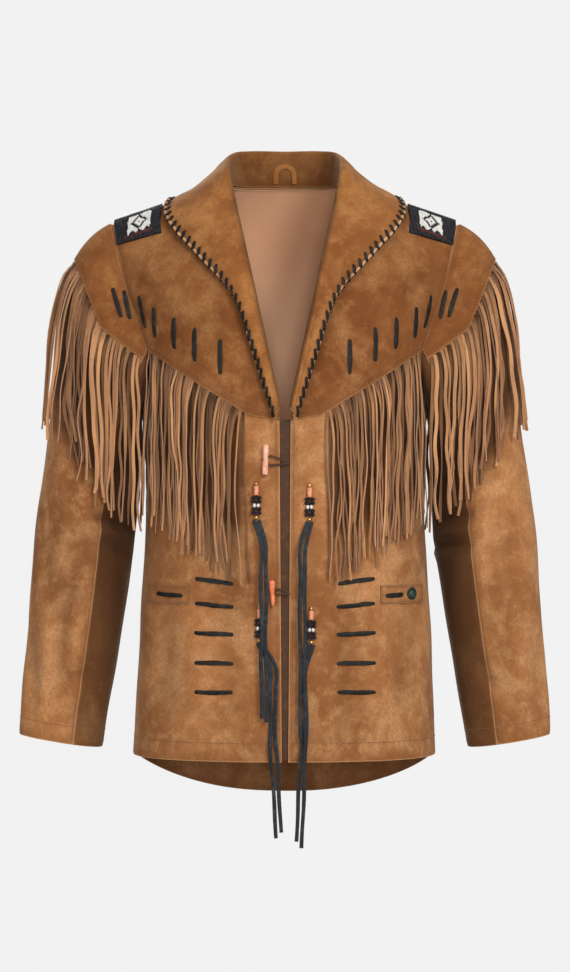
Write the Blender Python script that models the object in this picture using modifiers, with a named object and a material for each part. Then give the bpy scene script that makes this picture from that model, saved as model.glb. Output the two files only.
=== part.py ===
"""A western fringed suede jacket, open and filled out as it is worn, with no wearer.

Metres. The origin is midway between the side neck points, +Z is up, the front faces -Y
and the wearer's left is +X. Each cut piece is a closed wall and an object of its own.
"""

import math
from collections import namedtuple

import bmesh
import bpy
import numpy as np
from mathutils import Vector
from mathutils.bvhtree import BVHTree

# Thicknesses, and the gap between neighbouring pieces
GAP = 0.0003
WALL = 0.0020
OVERLAY = 0.0016
LINING = 0.0010
OVERLAY_GAP = 0.0006

# Neck, shoulder and hem
NECK_X = 0.070
NECK_RISE = 0.035
BACK_NECK_RISE = 0.005
SHOULDER_X = 0.2175
SHOULDER_DROP = 0.050
UNDERARM_Z = -0.290
HEM_Z = -0.720
TAIL_DROP = 0.063
V_X = 0.007
V_Z = -0.287
FRONT_EDGE_HEM_X = 0.004
SQUARENESS = 2.3

# The torso: its half width, and its depth in front of and behind the shoulder line
Section = namedtuple("Section", "z half_width front_depth back_depth")
BODY = (
    Section(-0.800, 0.1945, 0.119, 0.118),
    Section(-0.720, 0.1920, 0.121, 0.116),
    Section(-0.620, 0.1860, 0.124, 0.107),
    Section(-0.500, 0.1800, 0.126, 0.101),
    Section(-0.400, 0.1765, 0.128, 0.104),
    Section(-0.290, 0.1815, 0.129, 0.113),
    Section(-0.200, 0.1930, 0.128, 0.117),
    Section(-0.120, 0.2150, 0.126, 0.116),
    Section(-0.050, 0.2360, 0.125, 0.114),
    Section(0.040, 0.2520, 0.124, 0.112),
)

# The armhole edge of the front and of the back
Armhole = namedtuple("Armhole", "z front_x back_x")
ARMHOLE = (
    Armhole(-0.290, 0.1815, 0.1815),
    Armhole(-0.265, 0.1735, 0.1760),
    Armhole(-0.225, 0.1690, 0.1730),
    Armhole(-0.180, 0.1815, 0.1830),
    Armhole(-0.135, 0.1965, 0.1965),
    Armhole(-0.100, 0.2060, 0.2055),
    Armhole(-0.050, 0.2175, 0.2175),
)

# The lower edge of each yoke
YokeEdge = namedtuple("YokeEdge", "x front_z back_z")
YOKE_EDGE = (
    YokeEdge(0.000, -0.3025, -0.3060),
    YokeEdge(0.044, -0.2955, -0.2880),
    YokeEdge(0.128, -0.2420, -0.2380),
    YokeEdge(0.172, -0.2125, -0.2125),
    YokeEdge(0.230, -0.2125, -0.2125),
)
YOKE_SIDE_Z = -0.2125
YOKE_INSET = 0.0022

# The sleeve below its head: rings down the arm, tilted out in degrees
SleeveRing = namedtuple("SleeveRing", "z x y half_width half_depth tilt")
SLEEVE = (
    SleeveRing(-0.702, 0.2825, -0.019, 0.0525, 0.0420, 9.0),
    SleeveRing(-0.654, 0.2776, -0.015, 0.0545, 0.0450, 9.0),
    SleeveRing(-0.603, 0.2708, -0.010, 0.0562, 0.0490, 9.0),
    SleeveRing(-0.527, 0.2617, -0.004, 0.0597, 0.0540, 9.0),
    SleeveRing(-0.450, 0.2540, 0.000, 0.0635, 0.0585, 10.0),
    SleeveRing(-0.335, 0.2425, 0.002, 0.0590, 0.0640, 12.0),
)
CUFF_Z = -0.702
BICEP_Z = -0.335
ARMHOLE_SHIFT = 0.00045

# How far the sleeve yoke reaches from the armhole, by the turn from the underarm to the front
SleeveYoke = namedtuple("SleeveYoke", "turn reach")
SLEEVE_YOKE = (
    SleeveYoke(0.0, 0.012),
    SleeveYoke(70.0, 0.014),
    SleeveYoke(106.0, 0.060),
    SleeveYoke(140.0, 0.064),
    SleeveYoke(180.0, 0.068),
)

# Counts of quads across and down the panels
NECK_HEIGHTS = (-0.287, -0.215, -0.150, -0.090, -0.040)
BACK_NECK_XS = (0.0, 0.0233, 0.0467)
RIDGE_XS = (0.070, 0.0973, 0.1247, 0.152, 0.174, 0.196, 0.2175)
PATCH_FIRST = 3
PATCH_ROWS = 2
YOKE_ROWS = 4
ARM_ROWS = 3
SKIRT_ROWS = 6
UNDERARM_SAG = 0.075
SLEEVE_YOKE_ROWS = 3
SLEEVE_HEAD_ROWS = 3
SLEEVE_ARM_ROWS = 6

# Fringe
FRINGE_LENGTH = 0.208
FRINGE_BACKING = 0.007
FRINGE_THICK = 0.0015
FRINGE_CLEAR = 0.0070
FRONT_STRANDS = 28
SLEEVE_STRANDS = 40
BACK_STRANDS = 50
STRAND_STEPS = (0.26, 1.0)
SLEEVE_STRAND_STEPS = (0.08, 0.36, 1.0)
FRINGE_START = 2.75
FRINGE_SHORT = 0.2
STRIP_GAP = 0.0009

TAN = (0.46, 0.24, 0.09)
FRINGE_TAN = (0.44, 0.22, 0.10)
MAUVE = (0.34, 0.17, 0.11)
DARK_BROWN = (0.15, 0.08, 0.045)
PEACH = (0.80, 0.42, 0.30)
CORAL = (0.72, 0.22, 0.10)
BLACK = (0.02, 0.02, 0.022)

Face = namedtuple("Face", "sign depth edge yoke round_over power")
FRONT = Face(-1.0, "front_depth", "front_x", "front_z", 0.20, 0.65)
BACK = Face(1.0, "back_depth", "back_x", "back_z", 0.14, 0.55)


def clear_scene():
    for thing in list(bpy.data.objects):
        bpy.data.objects.remove(thing, do_unlink=True)


def material(name, colour, roughness=0.9, metallic=0.0):
    made = bpy.data.materials.new(name)
    made.use_nodes = True
    shader = made.node_tree.nodes["Principled BSDF"]
    shader.inputs["Base Color"].default_value = (*colour, 1.0)
    shader.inputs["Roughness"].default_value = roughness
    shader.inputs["Metallic"].default_value = metallic
    made.diffuse_color = (*colour, 1.0)
    return made


def add_object(name, points, faces, colour, roughness=0.9, metallic=0.0):
    """A closed mesh object with its faces turned out."""
    mesh = bpy.data.meshes.new(name)
    mesh.from_pydata([tuple(map(float, p)) for p in points], [], [tuple(map(int, f)) for f in faces])
    work = bmesh.new()
    work.from_mesh(mesh)
    bmesh.ops.recalc_face_normals(work, faces=work.faces)
    if work.calc_volume(signed=True) < 0:
        bmesh.ops.reverse_faces(work, faces=work.faces)
    work.to_mesh(mesh)
    work.free()
    made = bpy.data.objects.new(name, mesh)
    made.data.materials.append(material(name, colour, roughness, metallic))
    JACKET.objects.link(made)
    return made


# Curves and tables


def column(rows, name):
    return np.array([getattr(row, name) for row in rows])


def smooth(rows, key, name, at):
    """The named column at a place, by a cubic through the table's rows."""
    keys, values = column(rows, key), column(rows, name)
    slopes = np.gradient(values, keys)
    at = np.clip(at, keys[0], keys[-1])
    k = np.clip(np.searchsorted(keys, at, side="right") - 1, 0, len(keys) - 2)
    step = keys[k + 1] - keys[k]
    t = (at - keys[k]) / step
    ends = (1 + 2 * t) * (1 - t) ** 2 * values[k] + t * t * (3 - 2 * t) * values[k + 1]
    return ends + step * (t * (1 - t) ** 2 * slopes[k] - t * t * (1 - t) * slopes[k + 1])


def straight(rows, key, name, at):
    return np.interp(at, column(rows, key), column(rows, name))


def unit(vectors):
    vectors = np.asarray(vectors, float)
    return vectors / np.maximum(np.linalg.norm(vectors, axis=-1, keepdims=True), 1e-12)


def signed_power(base, power):
    return np.sign(base) * np.abs(base) ** power


# The torso form


def half_width(z):
    return smooth(BODY, "z", "half_width", z)


def ridge(x):
    """Height of the shoulder line, with its rise across the neck."""
    x = np.abs(x)
    outside = -SHOULDER_DROP * (x - NECK_X) / (SHOULDER_X - NECK_X)
    return np.where(x < NECK_X, NECK_RISE * (1 - (x / NECK_X) ** 2), outside)


def closure(face, drop):
    """How far the face has left the shoulder line, from 0 on it to 1 at full depth."""
    u = np.clip(drop / face.round_over, 0.0, 1.0)
    return (1 - (1 - u) ** 2) ** face.power


def body_point(face, angle, z):
    half = half_width(z)
    x = half * signed_power(np.sin(angle), 2 / SQUARENESS)
    depth = smooth(BODY, "z", face.depth, z) * signed_power(np.cos(angle), 2 / SQUARENESS)
    y = face.sign * depth * closure(face, ridge(x) - z)
    return np.stack(np.broadcast_arrays(x, y, z), axis=-1)


def body_y(face, x, z):
    """The face's depth straight in from a place on the front view."""
    across = np.clip(1 - (np.abs(x) / half_width(z)) ** SQUARENESS, 0.0, 1.0) ** (1 / SQUARENESS)
    return face.sign * smooth(BODY, "z", face.depth, z) * across * closure(face, ridge(x) - z)


def angle_of(x, z):
    return np.arcsin(np.clip(x / half_width(z), 0.0, 1.0) ** (SQUARENESS / 2))


def front_edge_x(z):
    return V_X + (FRONT_EDGE_HEM_X - V_X) * np.clip((V_Z - z) / (V_Z - HEM_Z), 0.0, 1.0)


def angle_limits(face, z):
    inner = angle_of(front_edge_x(z), z) if face is FRONT else np.zeros_like(z)
    outer = angle_of(smooth(ARMHOLE, "z", face.edge, z), z)
    return inner, np.where(z <= UNDERARM_Z, math.pi / 2, outer)


def angle_at(face, share, z):
    inner, outer = angle_limits(face, z)
    return inner + share * (outer - inner)


def share_of(face, x, z):
    x, z = np.asarray(x, float), np.asarray(z, float)
    inner, outer = angle_limits(face, z)
    return (angle_of(x, z) - inner) / (outer - inner)


def neckline(face, x):
    if face is FRONT:
        return V_Z + (x - V_X) / (NECK_X - V_X) * -V_Z
    return BACK_NECK_RISE * (1 - (x / NECK_X) ** 2)


def top_limit(face, x):
    return np.where(x < NECK_X, neckline(face, x), ridge(x))


def yoke_limit(face, x):
    return straight(YOKE_EDGE, "x", face.yoke, x)


def height_where(face, share, limit):
    """The height at which each column of the face crosses a line given by x."""
    low, high = np.full_like(share, -0.6), np.full_like(share, 0.04)
    for _ in range(50):
        middle = (low + high) / 2
        x = body_point(face, angle_at(face, share, middle), middle)[..., 0]
        above = middle > limit(face, x)
        high = np.where(above, middle, high)
        low = np.where(above, low, middle)
    return (low + high) / 2


def body_normal(face, share, z):
    angle = angle_at(face, share, z)
    across = body_point(face, angle + 1e-3, z) - body_point(face, angle - 1e-3, z)
    up = body_point(face, angle, z + 2e-4) - body_point(face, angle, z - 2e-4)
    return unit(-face.sign * np.cross(across, up))


def face_columns(face):
    if face is FRONT:
        heights = np.array(NECK_HEIGHTS)
        xs = V_X + (heights - V_Z) / -V_Z * (NECK_X - V_X)
    else:
        xs = np.array(BACK_NECK_XS)
        heights = neckline(BACK, xs)
    ridge_xs = np.array(RIDGE_XS)
    return np.concatenate([share_of(face, xs, heights), share_of(face, ridge_xs, ridge(ridge_xs))])


def stack_rows(levels, steps):
    """Heights from one level to the next, each stretch in its own fractions."""
    rows = [levels[0]]
    for upper, lower, fractions in zip(levels, levels[1:], steps):
        rows += [upper + fraction * (lower - upper) for fraction in fractions]
    return np.array(rows)


def even(count):
    return [(i + 1) / count for i in range(count)]


class Grid:
    """Points of a surface in rows and columns, with the way out at each.

    Cells before the middle column are split the other way, so that a whole back mirrors itself.
    """

    def __init__(self, points, normals, middle=0):
        self.points, self.normals, self.middle = points, normals, middle

    def cut(self, rows, columns=slice(None)):
        middle = self.middle if columns == slice(None) else 0
        return Grid(self.points[rows][:, columns], self.normals[rows][:, columns], middle)

    def mirrored(self):
        flip = np.array([-1.0, 1.0, 1.0])
        return Grid((self.points * flip)[:, ::-1], (self.normals * flip)[:, ::-1])

    def joined(self, other, axis):
        points = np.concatenate([self.points, other.points], axis)
        return Grid(points, np.concatenate([self.normals, other.normals], axis))

    def doubled(self):
        """The mirror image of this half and the half itself, sharing the middle column."""
        whole = self.mirrored().cut(slice(None), slice(0, -1)).joined(self, 1)
        whole.middle = self.points.shape[1] - 1
        return whole

    def inset(self, top=0.0, bottom=0.0, first=0.0, last=0.0):
        """The grid with its edges drawn in along the surface by these distances."""
        points = self.points.copy()
        for edge, inner, by in ((0, 1, top), (-1, -2, bottom)):
            points[edge] += by * unit(points[inner] - points[edge])
        for edge, inner, by in ((0, 1, first), (-1, -2, last)):
            points[:, edge] += by * unit(points[:, inner] - points[:, edge])
        return Grid(points, self.normals, self.middle)

    def at(self, row, across):
        """A point and normal on the flat triangles between the grid's points."""
        r = min(int(row), len(self.points) - 2)
        c = min(int(across), self.points.shape[1] - 2)
        cells = [values[r:r + 2, c:c + 2] for values in (self.points, self.normals)]
        if c < self.middle:
            return tuple(self._blend(cell[:, ::-1], row - r, 1 - across + c) for cell in cells)
        return tuple(self._blend(cell, row - r, across - c) for cell in cells)

    @staticmethod
    def _blend(q, down, over):
        if over >= down:
            return q[0, 0] + over * (q[0, 1] - q[0, 0]) + down * (q[1, 1] - q[0, 1])
        return q[0, 0] + down * (q[1, 0] - q[0, 0]) + over * (q[1, 1] - q[1, 0])


def face_grid(face):
    share = face_columns(face)
    top = height_where(face, share, top_limit)
    yoke = height_where(face, share, yoke_limit)
    first_patch = share[len(share) - len(RIDGE_XS) + PATCH_FIRST]
    depth = 0.040 - 0.010 * np.clip((share - first_patch) / (1 - first_patch), 0.0, 1.0)
    patch = top - np.minimum(depth, 0.3 * (top - yoke))
    under = UNDERARM_Z - UNDERARM_SAG * (1 - share)
    tail = TAIL_DROP * np.cos(share * math.pi / 2) ** 1.5 if face is BACK else 0.0
    z = stack_rows(
        (top, patch, yoke, under, HEM_Z - tail),
        ((0.3, 1.0), even(YOKE_ROWS), even(ARM_ROWS), even(SKIRT_ROWS)),
    )
    z[PATCH_ROWS + YOKE_ROWS, -1] = YOKE_SIDE_Z
    shares = np.broadcast_to(share, z.shape)
    points = body_point(face, angle_at(face, shares, z), z)
    normals = body_normal(face, shares, z)
    slope = SHOULDER_DROP / (SHOULDER_X - NECK_X)
    shoulder = len(share) - len(RIDGE_XS)
    points[0, shoulder:, 1] = 0.0
    normals[0, shoulder:] = unit([slope, 0.0, 1.0])
    return Grid(points, normals)


# The sleeve form


def sleeve_ring(z, turn):
    at = {name: smooth(SLEEVE, "z", name, z) for name in SleeveRing._fields[1:]}
    out = -at["half_width"] * np.cos(turn)
    rise = out * np.tan(np.radians(at["tilt"]))
    y = at["y"] - at["half_depth"] * np.sin(turn)
    return np.stack(np.broadcast_arrays(at["x"] + out, y, z + rise), -1)


def hermite(start, leave, end, arrive, t):
    t = t[..., None]
    ends = (1 + 2 * t) * (1 - t) ** 2 * start + t * t * (3 - 2 * t) * end
    return ends + t * (1 - t) ** 2 * leave - t * t * (1 - t) * arrive


def sleeve_grid(front, back):
    """The whole sleeve, from the underarm round by the front, the top and the back to the underarm."""
    last = PATCH_ROWS + YOKE_ROWS + ARM_ROWS
    edge = np.concatenate([front.points[last::-1, -1], back.points[1:last + 1, -1]])
    outward = np.concatenate([front.normals[last::-1, -1], back.normals[1:last + 1, -1]])
    middle, reach = (UNDERARM_Z - SHOULDER_DROP) / 2, (UNDERARM_Z + SHOULDER_DROP) / 2
    turn = np.arccos(np.clip((edge[:, 2] - middle) / reach, -1, 1))
    turn[last + 1:] = 2 * math.pi - turn[last + 1:]
    up = ((1 - np.cos(turn)) / 2)[:, None]
    leave = unit(up * np.array([0.92, 0.0, -0.39]) + (1 - up) * np.array([0.10, 0.0, -1.0])
                 - 0.25 * np.sin(turn)[:, None] * np.array([0.0, 1.0, 0.0]))
    start = edge + ARMHOLE_SHIFT * unit(leave + outward)
    end = sleeve_ring(BICEP_Z, turn)
    arrive = unit(sleeve_ring(BICEP_Z - 0.01, turn) - end)
    chord = np.linalg.norm(end - start, axis=1)[:, None]

    def head(t):
        return hermite(start, leave * chord, end, arrive * chord, np.broadcast_to(t, turn.shape))

    fine = np.linspace(0.0, 1.0, 81)
    path = np.array([head(t) for t in fine])
    lengths = np.linalg.norm(np.diff(path, axis=0), axis=2)
    run = np.concatenate([np.zeros((1, len(turn))), np.cumsum(lengths, 0)])
    wanted = straight(SLEEVE_YOKE, "turn", "reach", np.degrees(np.minimum(turn, 2 * math.pi - turn)))
    yoke = np.array([np.interp(w, run[:, i], fine) for i, w in enumerate(wanted)])
    steps = stack_rows((np.zeros_like(yoke), yoke, np.ones_like(yoke)),
                       (even(SLEEVE_YOKE_ROWS), even(SLEEVE_HEAD_ROWS)))
    rows = [head(t) for t in steps]
    for fraction in even(SLEEVE_ARM_ROWS):
        rows.append(sleeve_ring(BICEP_Z + fraction * (CUFF_Z - BICEP_Z), turn))
    points = np.array(rows)
    down = np.gradient(points, axis=0)
    round_ = np.empty_like(points)
    round_[:, 1:-1] = points[:, 2:] - points[:, :-2]
    round_[:, 0] = round_[:, -1] = points[:, 1] - points[:, -2]
    return Grid(points, unit(np.cross(down, round_)))


# Solids from grids


def triangles(grid):
    """Each cell of a grid as two triangles, split alike on each side of its middle."""
    rows, columns = grid.points.shape[:2]
    index = np.arange(rows * columns).reshape(rows, columns)
    made = []
    for part, flip in ((index[:, :grid.middle + 1], True), (index[:, grid.middle:], False)):
        corners = (part[:-1, :-1], part[:-1, 1:], part[1:, 1:], part[1:, :-1])
        a, b, c, d = (corner.reshape(-1) for corner in corners)
        pair = ((a, b, d), (b, c, d)) if flip else ((a, b, c), (a, c, d))
        made += [np.stack(cell, -1) for cell in pair]
    return np.concatenate(made)


def wall(grid, outer, thickness):
    """Points and faces of a closed wall, its outer skin this far out from the grid."""
    rows, columns = grid.points.shape[:2]
    skins = [grid.points + grid.normals * out for out in (outer, outer - thickness)]
    points = np.concatenate([skin.reshape(-1, 3) for skin in skins])
    index = np.arange(rows * columns).reshape(rows, columns)
    top = triangles(grid)
    rim = np.concatenate([index[0], index[1:, -1], index[-1, -2::-1], index[-2:0:-1, 0]])
    after = np.roll(rim, -1)
    under = rows * columns
    sides = np.concatenate([np.stack([rim, rim + under, after + under], -1),
                            np.stack([rim, after + under, after], -1)])
    return points, np.concatenate([top, top[:, ::-1] + under, sides])


def add_wall(name, grid, outer, thickness, colour, **finish):
    points, faces = wall(grid, outer, thickness)
    return add_object(name, points, faces, colour, **finish)


def add_pair(name, points, faces, colour, **finish):
    """The same piece on the wearer's left, where it was made, and mirrored on the right."""
    left = add_object(name + "_left", points, faces, colour, **finish)
    right = add_object(name + "_right", points * np.array([-1.0, 1.0, 1.0]), faces, colour, **finish)
    return left, right


def add_wall_pair(name, grid, outer, thickness, colour):
    return add_pair(name, *wall(grid, outer, thickness), colour)


def bars(path, widths, thickness, across, outward):
    """Points and faces of a four-sided bar along a path, with a cap at each end."""
    rings = []
    for point, width in zip(path, widths):
        side, out = np.asarray(across) * width / 2, np.asarray(outward) * thickness / 2
        rings += [point - side - out, point + side - out, point + side + out, point - side + out]
    faces = [(0, 1, 2, 3)]
    for ring in range(len(path) - 1):
        a = 4 * ring
        faces += [(a + i, a + (i + 1) % 4, a + 4 + (i + 1) % 4, a + 4 + i) for i in range(4)]
    last = 4 * (len(path) - 1)
    return np.array(rings), faces + [(last + 3, last + 2, last + 1, last)]


# Fringe


def comb(edge, lower, normals, skin, shares):
    """One fringe: a narrow backing strip whose lower rim runs on into the strands."""
    inner, outer = STRIP_GAP, STRIP_GAP + FRINGE_THICK
    count = len(edge) - 1
    levels = [points + normals * out for points in (edge, lower) for out in (outer, inner)]
    points = [np.array(levels).reshape(-1, 3)]
    size = count + 1
    top_out, top_in, low_out, low_in = (np.arange(size) + size * i for i in range(4))
    faces = []
    for a, b in ((low_out, top_out), (top_in, low_in), (top_out, top_in)):
        faces += [(a[i], a[i + 1], b[i + 1], b[i]) for i in range(count)]
    faces.append((top_out[0], top_in[0], low_in[0], low_out[0]))
    faces.append((top_in[-1], top_out[-1], low_out[-1], low_in[-1]))
    start = 4 * size
    for i in range(count):
        root = (low_out[i], low_out[i + 1], low_in[i + 1], low_in[i])
        rings = strand_rings(lower[i], lower[i + 1], unit(normals[i] + normals[i + 1]), skin, shares, i)
        points.append(rings.reshape(-1, 3))
        here = root
        for ring in range(len(rings)):
            there = tuple(start + 4 * ring + k for k in range(4))
            faces += [(here[k], here[(k + 1) % 4], there[(k + 1) % 4], there[k]) for k in range(4)]
            here = there
        faces.append(here)
        start += 4 * len(rings)
    return np.concatenate(points), faces


def strand_rings(left, right, normal, skin, shares, number):
    """The rings of one strand below its root, hung clear of the cloth behind it."""
    across = (right - left) * np.array([1.0, 1.0, 0.0])
    width = 0.78 * np.linalg.norm(across)
    across = unit(across)
    outward = unit(np.cross(across, [0.0, 0.0, 1.0]))
    outward *= np.sign(outward @ normal)
    root = (left + right) / 2
    rings = []
    clear = FRINGE_CLEAR + 0.0008 * math.sin(2.4 * number)
    for share in shares:
        drop = FRINGE_LENGTH * (share + 0.03 * share * math.sin(1.7 * number))
        middle = cleared(root - np.array([0.0, 0.0, drop]), skin, clear)
        side, out = across * width / 2, outward * FRINGE_THICK / 2
        rings.append([middle - side + out, middle + side + out, middle + side - out, middle - side - out])
    return np.array(rings)


def cleared(point, skin, clear):
    """The point, pushed out along the nearest face where it is closer than this."""
    for _ in range(3):
        place, normal, _, distance = skin.find_nearest(Vector(point))
        if distance >= clear and (Vector(point) - place).dot(normal) > 0:
            break
        point = np.array(place + normal * clear)
    return np.asarray(point)


def fringe_lines(grid, row, count, start=0.0, short=0.0):
    """The backing strip's two edges along a grid row, in even steps of length."""
    last = grid.points.shape[1] - 1 - short
    fine = np.linspace(start, last, 400)
    line = np.array([grid.at(row, a)[0] for a in fine])
    run = np.concatenate([[0], np.cumsum(np.linalg.norm(np.diff(line, axis=0), axis=1))])
    places = np.interp(np.linspace(0, run[-1], count + 1), run, fine)
    upper, lower, normals = [], [], []
    for across in places:
        here, normal = grid.at(row, across)
        step = np.linalg.norm(grid.at(row + 0.2, across)[0] - here) / 0.2
        upper.append(grid.at(row + STRIP_GAP / step, across)[0])
        lower.append(grid.at(row + FRINGE_BACKING / step, across)[0])
        normals.append(normal)
    return np.array(upper), np.array(lower), np.array(normals)


def outer_skin(grids):
    """The outer faces of some grids, turned out, to measure clearance from."""
    points, faces = [], []
    for grid in grids:
        base = len(points)
        flat, normals = grid.points.reshape(-1, 3), grid.normals.reshape(-1, 3)
        a, b, c = triangles(grid).T
        facing = np.einsum("ij,ij->i", np.cross(flat[b] - flat[a], flat[c] - flat[a]), normals[a])
        order = (a, b, c) if facing.sum() > 0 else (a, c, b)
        points += flat.tolist()
        faces += (base + np.stack(order, -1)).tolist()
    return BVHTree.FromPolygons(points, faces)


def skin_of(objects):
    points, faces = [], []
    for thing in objects:
        base = len(points)
        points += [v.co[:] for v in thing.data.vertices]
        faces += [[base + i for i in f.vertices] for f in thing.data.polygons]
    return BVHTree.FromPolygons(points, faces)


# Collar

# Right half of the collar by station: 0 centre back, 6 side neck, 16 the point of the V
CollarFold = namedtuple("CollarFold", "station x y z")
COLLAR_FOLD = (
    CollarFold(0, 0.0000, 0.064, 0.0535),
    CollarFold(3, 0.0500, 0.047, 0.0515),
    CollarFold(5, 0.0665, 0.021, 0.0445),
    CollarFold(6, 0.0710, -0.004, 0.0340),
    CollarFold(7, 0.0695, -0.050, 0.0100),
)
CollarEdge = namedtuple("CollarEdge", "station x z side")
COLLAR_EDGE = (
    CollarEdge(0, 0.0000, -0.035, 1),
    CollarEdge(2, 0.0550, -0.037, 1),
    CollarEdge(4, 0.1030, -0.035, 1),
    CollarEdge(5, 0.1300, -0.029, 1),
    CollarEdge(6, 0.1440, -0.015, 0),
    CollarEdge(7, 0.1530, -0.045, -1),
    CollarEdge(8, 0.1310, -0.069, -1),
    CollarEdge(9, 0.1060, -0.097, -1),
    CollarEdge(11, 0.0600, -0.147, -1),
    CollarEdge(16, 0.0120, -0.303, -1),
)
COLLAR_WALL = 0.0020
COLLAR_STEP = 0.0018
COLLAR_CLEAR = 0.0065
FOLD_LIFT = 0.010


def collar_seam(front, back):
    """Points and normals along the neck edge, with one more between each pair."""
    neck_front, neck_back = len(NECK_HEIGHTS), len(BACK_NECK_XS)
    points = np.concatenate([back.points[0, :neck_back], front.points[0, neck_front::-1]])
    normals = np.concatenate([back.normals[0, :neck_back], front.normals[0, neck_front::-1]])
    seam, outward = doubled(points), unit(doubled(normals))
    return seam, outward, unit(np.cross(np.gradient(seam, axis=0), outward))


def doubled(values):
    made = np.empty((2 * len(values) - 1, 3))
    made[::2] = values
    made[1::2] = (values[1:] + values[:-1]) / 2
    return made


def collar_fold(seam):
    """The fold line, round the neck by its table and then down the roll of the V."""
    stations = np.arange(len(seam))
    table = np.array([smooth(COLLAR_FOLD, "station", axis, stations) for axis in "xyz"]).T
    last = COLLAR_FOLD[-1].station
    fold = table.copy()
    for k in range(last + 1, len(seam)):
        rise = 0.022 * ((len(seam) - 1 - k) / (len(seam) - 1 - last)) ** 1.5
        z = seam[k, 2] + rise
        x = V_X + (z - V_Z) / -V_Z * (NECK_X - V_X) + 0.0010
        fold[k] = (x, body_y(FRONT, x, z) - FOLD_LIFT, z)
    return fold


def collar_edge(count):
    stations = np.arange(count)
    x, z = (straight(COLLAR_EDGE, "station", axis, stations) for axis in ("x", "z"))
    side = np.sign(np.round(straight(COLLAR_EDGE, "station", "side", stations), 3))
    front = body_y(FRONT, x, z) - COLLAR_CLEAR
    back = body_y(BACK, x, z) + COLLAR_CLEAR
    y = np.where(side < 0, front, np.where(side > 0, back, 0.0))
    return np.stack([x, y, z], -1)


def collar_grid(front, back, skin):
    seam, seam_normals, away = collar_seam(front, back)
    base = seam - 0.5 * WALL * seam_normals + COLLAR_STEP * away
    fold = collar_fold(seam)
    edge = collar_edge(len(seam))
    rows = [base, base + 0.55 * (fold - base)]
    near, far = unit(rows[1] - fold), unit(edge - fold)
    first, second = fold + 0.006 * near, fold + 0.006 * far
    rows += [first, 0.25 * first + 0.5 * fold + 0.25 * second, second]
    rows += [second + share * (edge - second) for share in (0.33, 0.67, 1.0)]
    for row in rows[5:]:
        row[:] = [cleared(point, skin, COLLAR_CLEAR) for point in row]
    half = np.array(rows)
    points = np.concatenate([(half * np.array([-1.0, 1.0, 1.0]))[:, :0:-1], half], 1)
    down, over = np.gradient(points, axis=0), np.gradient(points, axis=1)
    normals = unit(np.cross(over, down))
    if (normals[-1] * points[-1])[..., 1].sum() < 0:
        normals *= -1
    mirrored = seam_normals * np.array([-1.0, 1.0, 1.0])
    normals[0] = -np.concatenate([mirrored[:0:-1], seam_normals])
    return Grid(points, normals)


# Small pieces


def lathe(name, profile, colour, sides, **finish):
    """A turned piece about its own Z axis from (radius, height) pairs, with a Screw modifier."""
    mesh = bpy.data.meshes.new(name)
    mesh.from_pydata([(r, 0.0, h) for r, h in profile], [(i, i + 1) for i in range(len(profile) - 1)], [])
    made = bpy.data.objects.new(name, mesh)
    made.data.materials.append(material(name, colour, **finish))
    turn = made.modifiers.new("turn", "SCREW")
    turn.axis, turn.angle = "Z", 2 * math.pi
    turn.steps = turn.render_steps = sides
    turn.use_merge_vertices, turn.merge_threshold = True, 1e-6
    turn.use_normal_calculate = True
    JACKET.objects.link(made)
    return made


def cord_tube(name, path, radius, colour):
    curve = bpy.data.curves.new(name, "CURVE")
    curve.dimensions = "3D"
    curve.bevel_depth, curve.bevel_resolution, curve.use_fill_caps = radius, 1, True
    spline = curve.splines.new("POLY")
    spline.points.add(len(path) - 1)
    for point, place in zip(spline.points, path):
        point.co = (*place, 1.0)
    made = bpy.data.objects.new(name, curve)
    made.data.materials.append(material(name, colour))
    JACKET.objects.link(made)
    return made


def on_skin(skin, x, z, out, side=-1.0):
    """A place straight in from the front at x and z, this far outside the cloth."""
    place, normal, _, _ = skin.ray_cast(Vector((x, side, z)), Vector((0.0, -side, 0.0)))
    return np.array(place + normal * out), np.array(normal)


Lace = namedtuple("Lace", "name x top bottom lean")
YOKE_LACES = (
    Lace("yoke_lace_1", 0.0790, -0.2020, -0.2460, 0.0000),
    Lace("yoke_lace_2", 0.1105, -0.1870, -0.2300, 0.0000),
    Lace("yoke_lace_3", 0.1370, -0.1740, -0.2140, 0.0010),
    Lace("yoke_lace_4", 0.1625, -0.1600, -0.1990, 0.0020),
    Lace("yoke_lace_5", 0.1820, -0.1440, -0.1860, 0.0090),
)
SLEEVE_LACES = (
    Lace("yoke_lace_6", 0.2015, -0.1370, -0.1740, 0.0080),
    Lace("yoke_lace_7", 0.2160, -0.1340, -0.1720, 0.0120),
)
LACE_WIDTH = 0.0058
LACE_THICK = 0.0014
LACE_CLEAR = 0.0009


def lace_bar(lace, skin):
    """A flat thong bar lying on the skin, from its top slit to its bottom one."""
    path, normals = [], []
    for share in np.linspace(0.0, 1.0, 4):
        z = lace.top + share * (lace.bottom - lace.top)
        place, normal = on_skin(skin, lace.x - lace.lean * share, z, LACE_CLEAR + LACE_THICK / 2)
        path.append(place)
        normals.append(normal)
    outward = unit(np.mean(normals, axis=0))
    across = unit(np.cross([0.0, 0.0, 1.0], outward))
    widths = [share * LACE_WIDTH for share in (0.8, 1.0, 1.0, 0.8)]
    return bars(path, widths, LACE_THICK, across, outward)


Pocket = namedtuple("Pocket", "inner_x outer_x top_z bottom_z")
POCKET = Pocket(0.1170, 0.1700, -0.5040, -0.5270)


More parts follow.
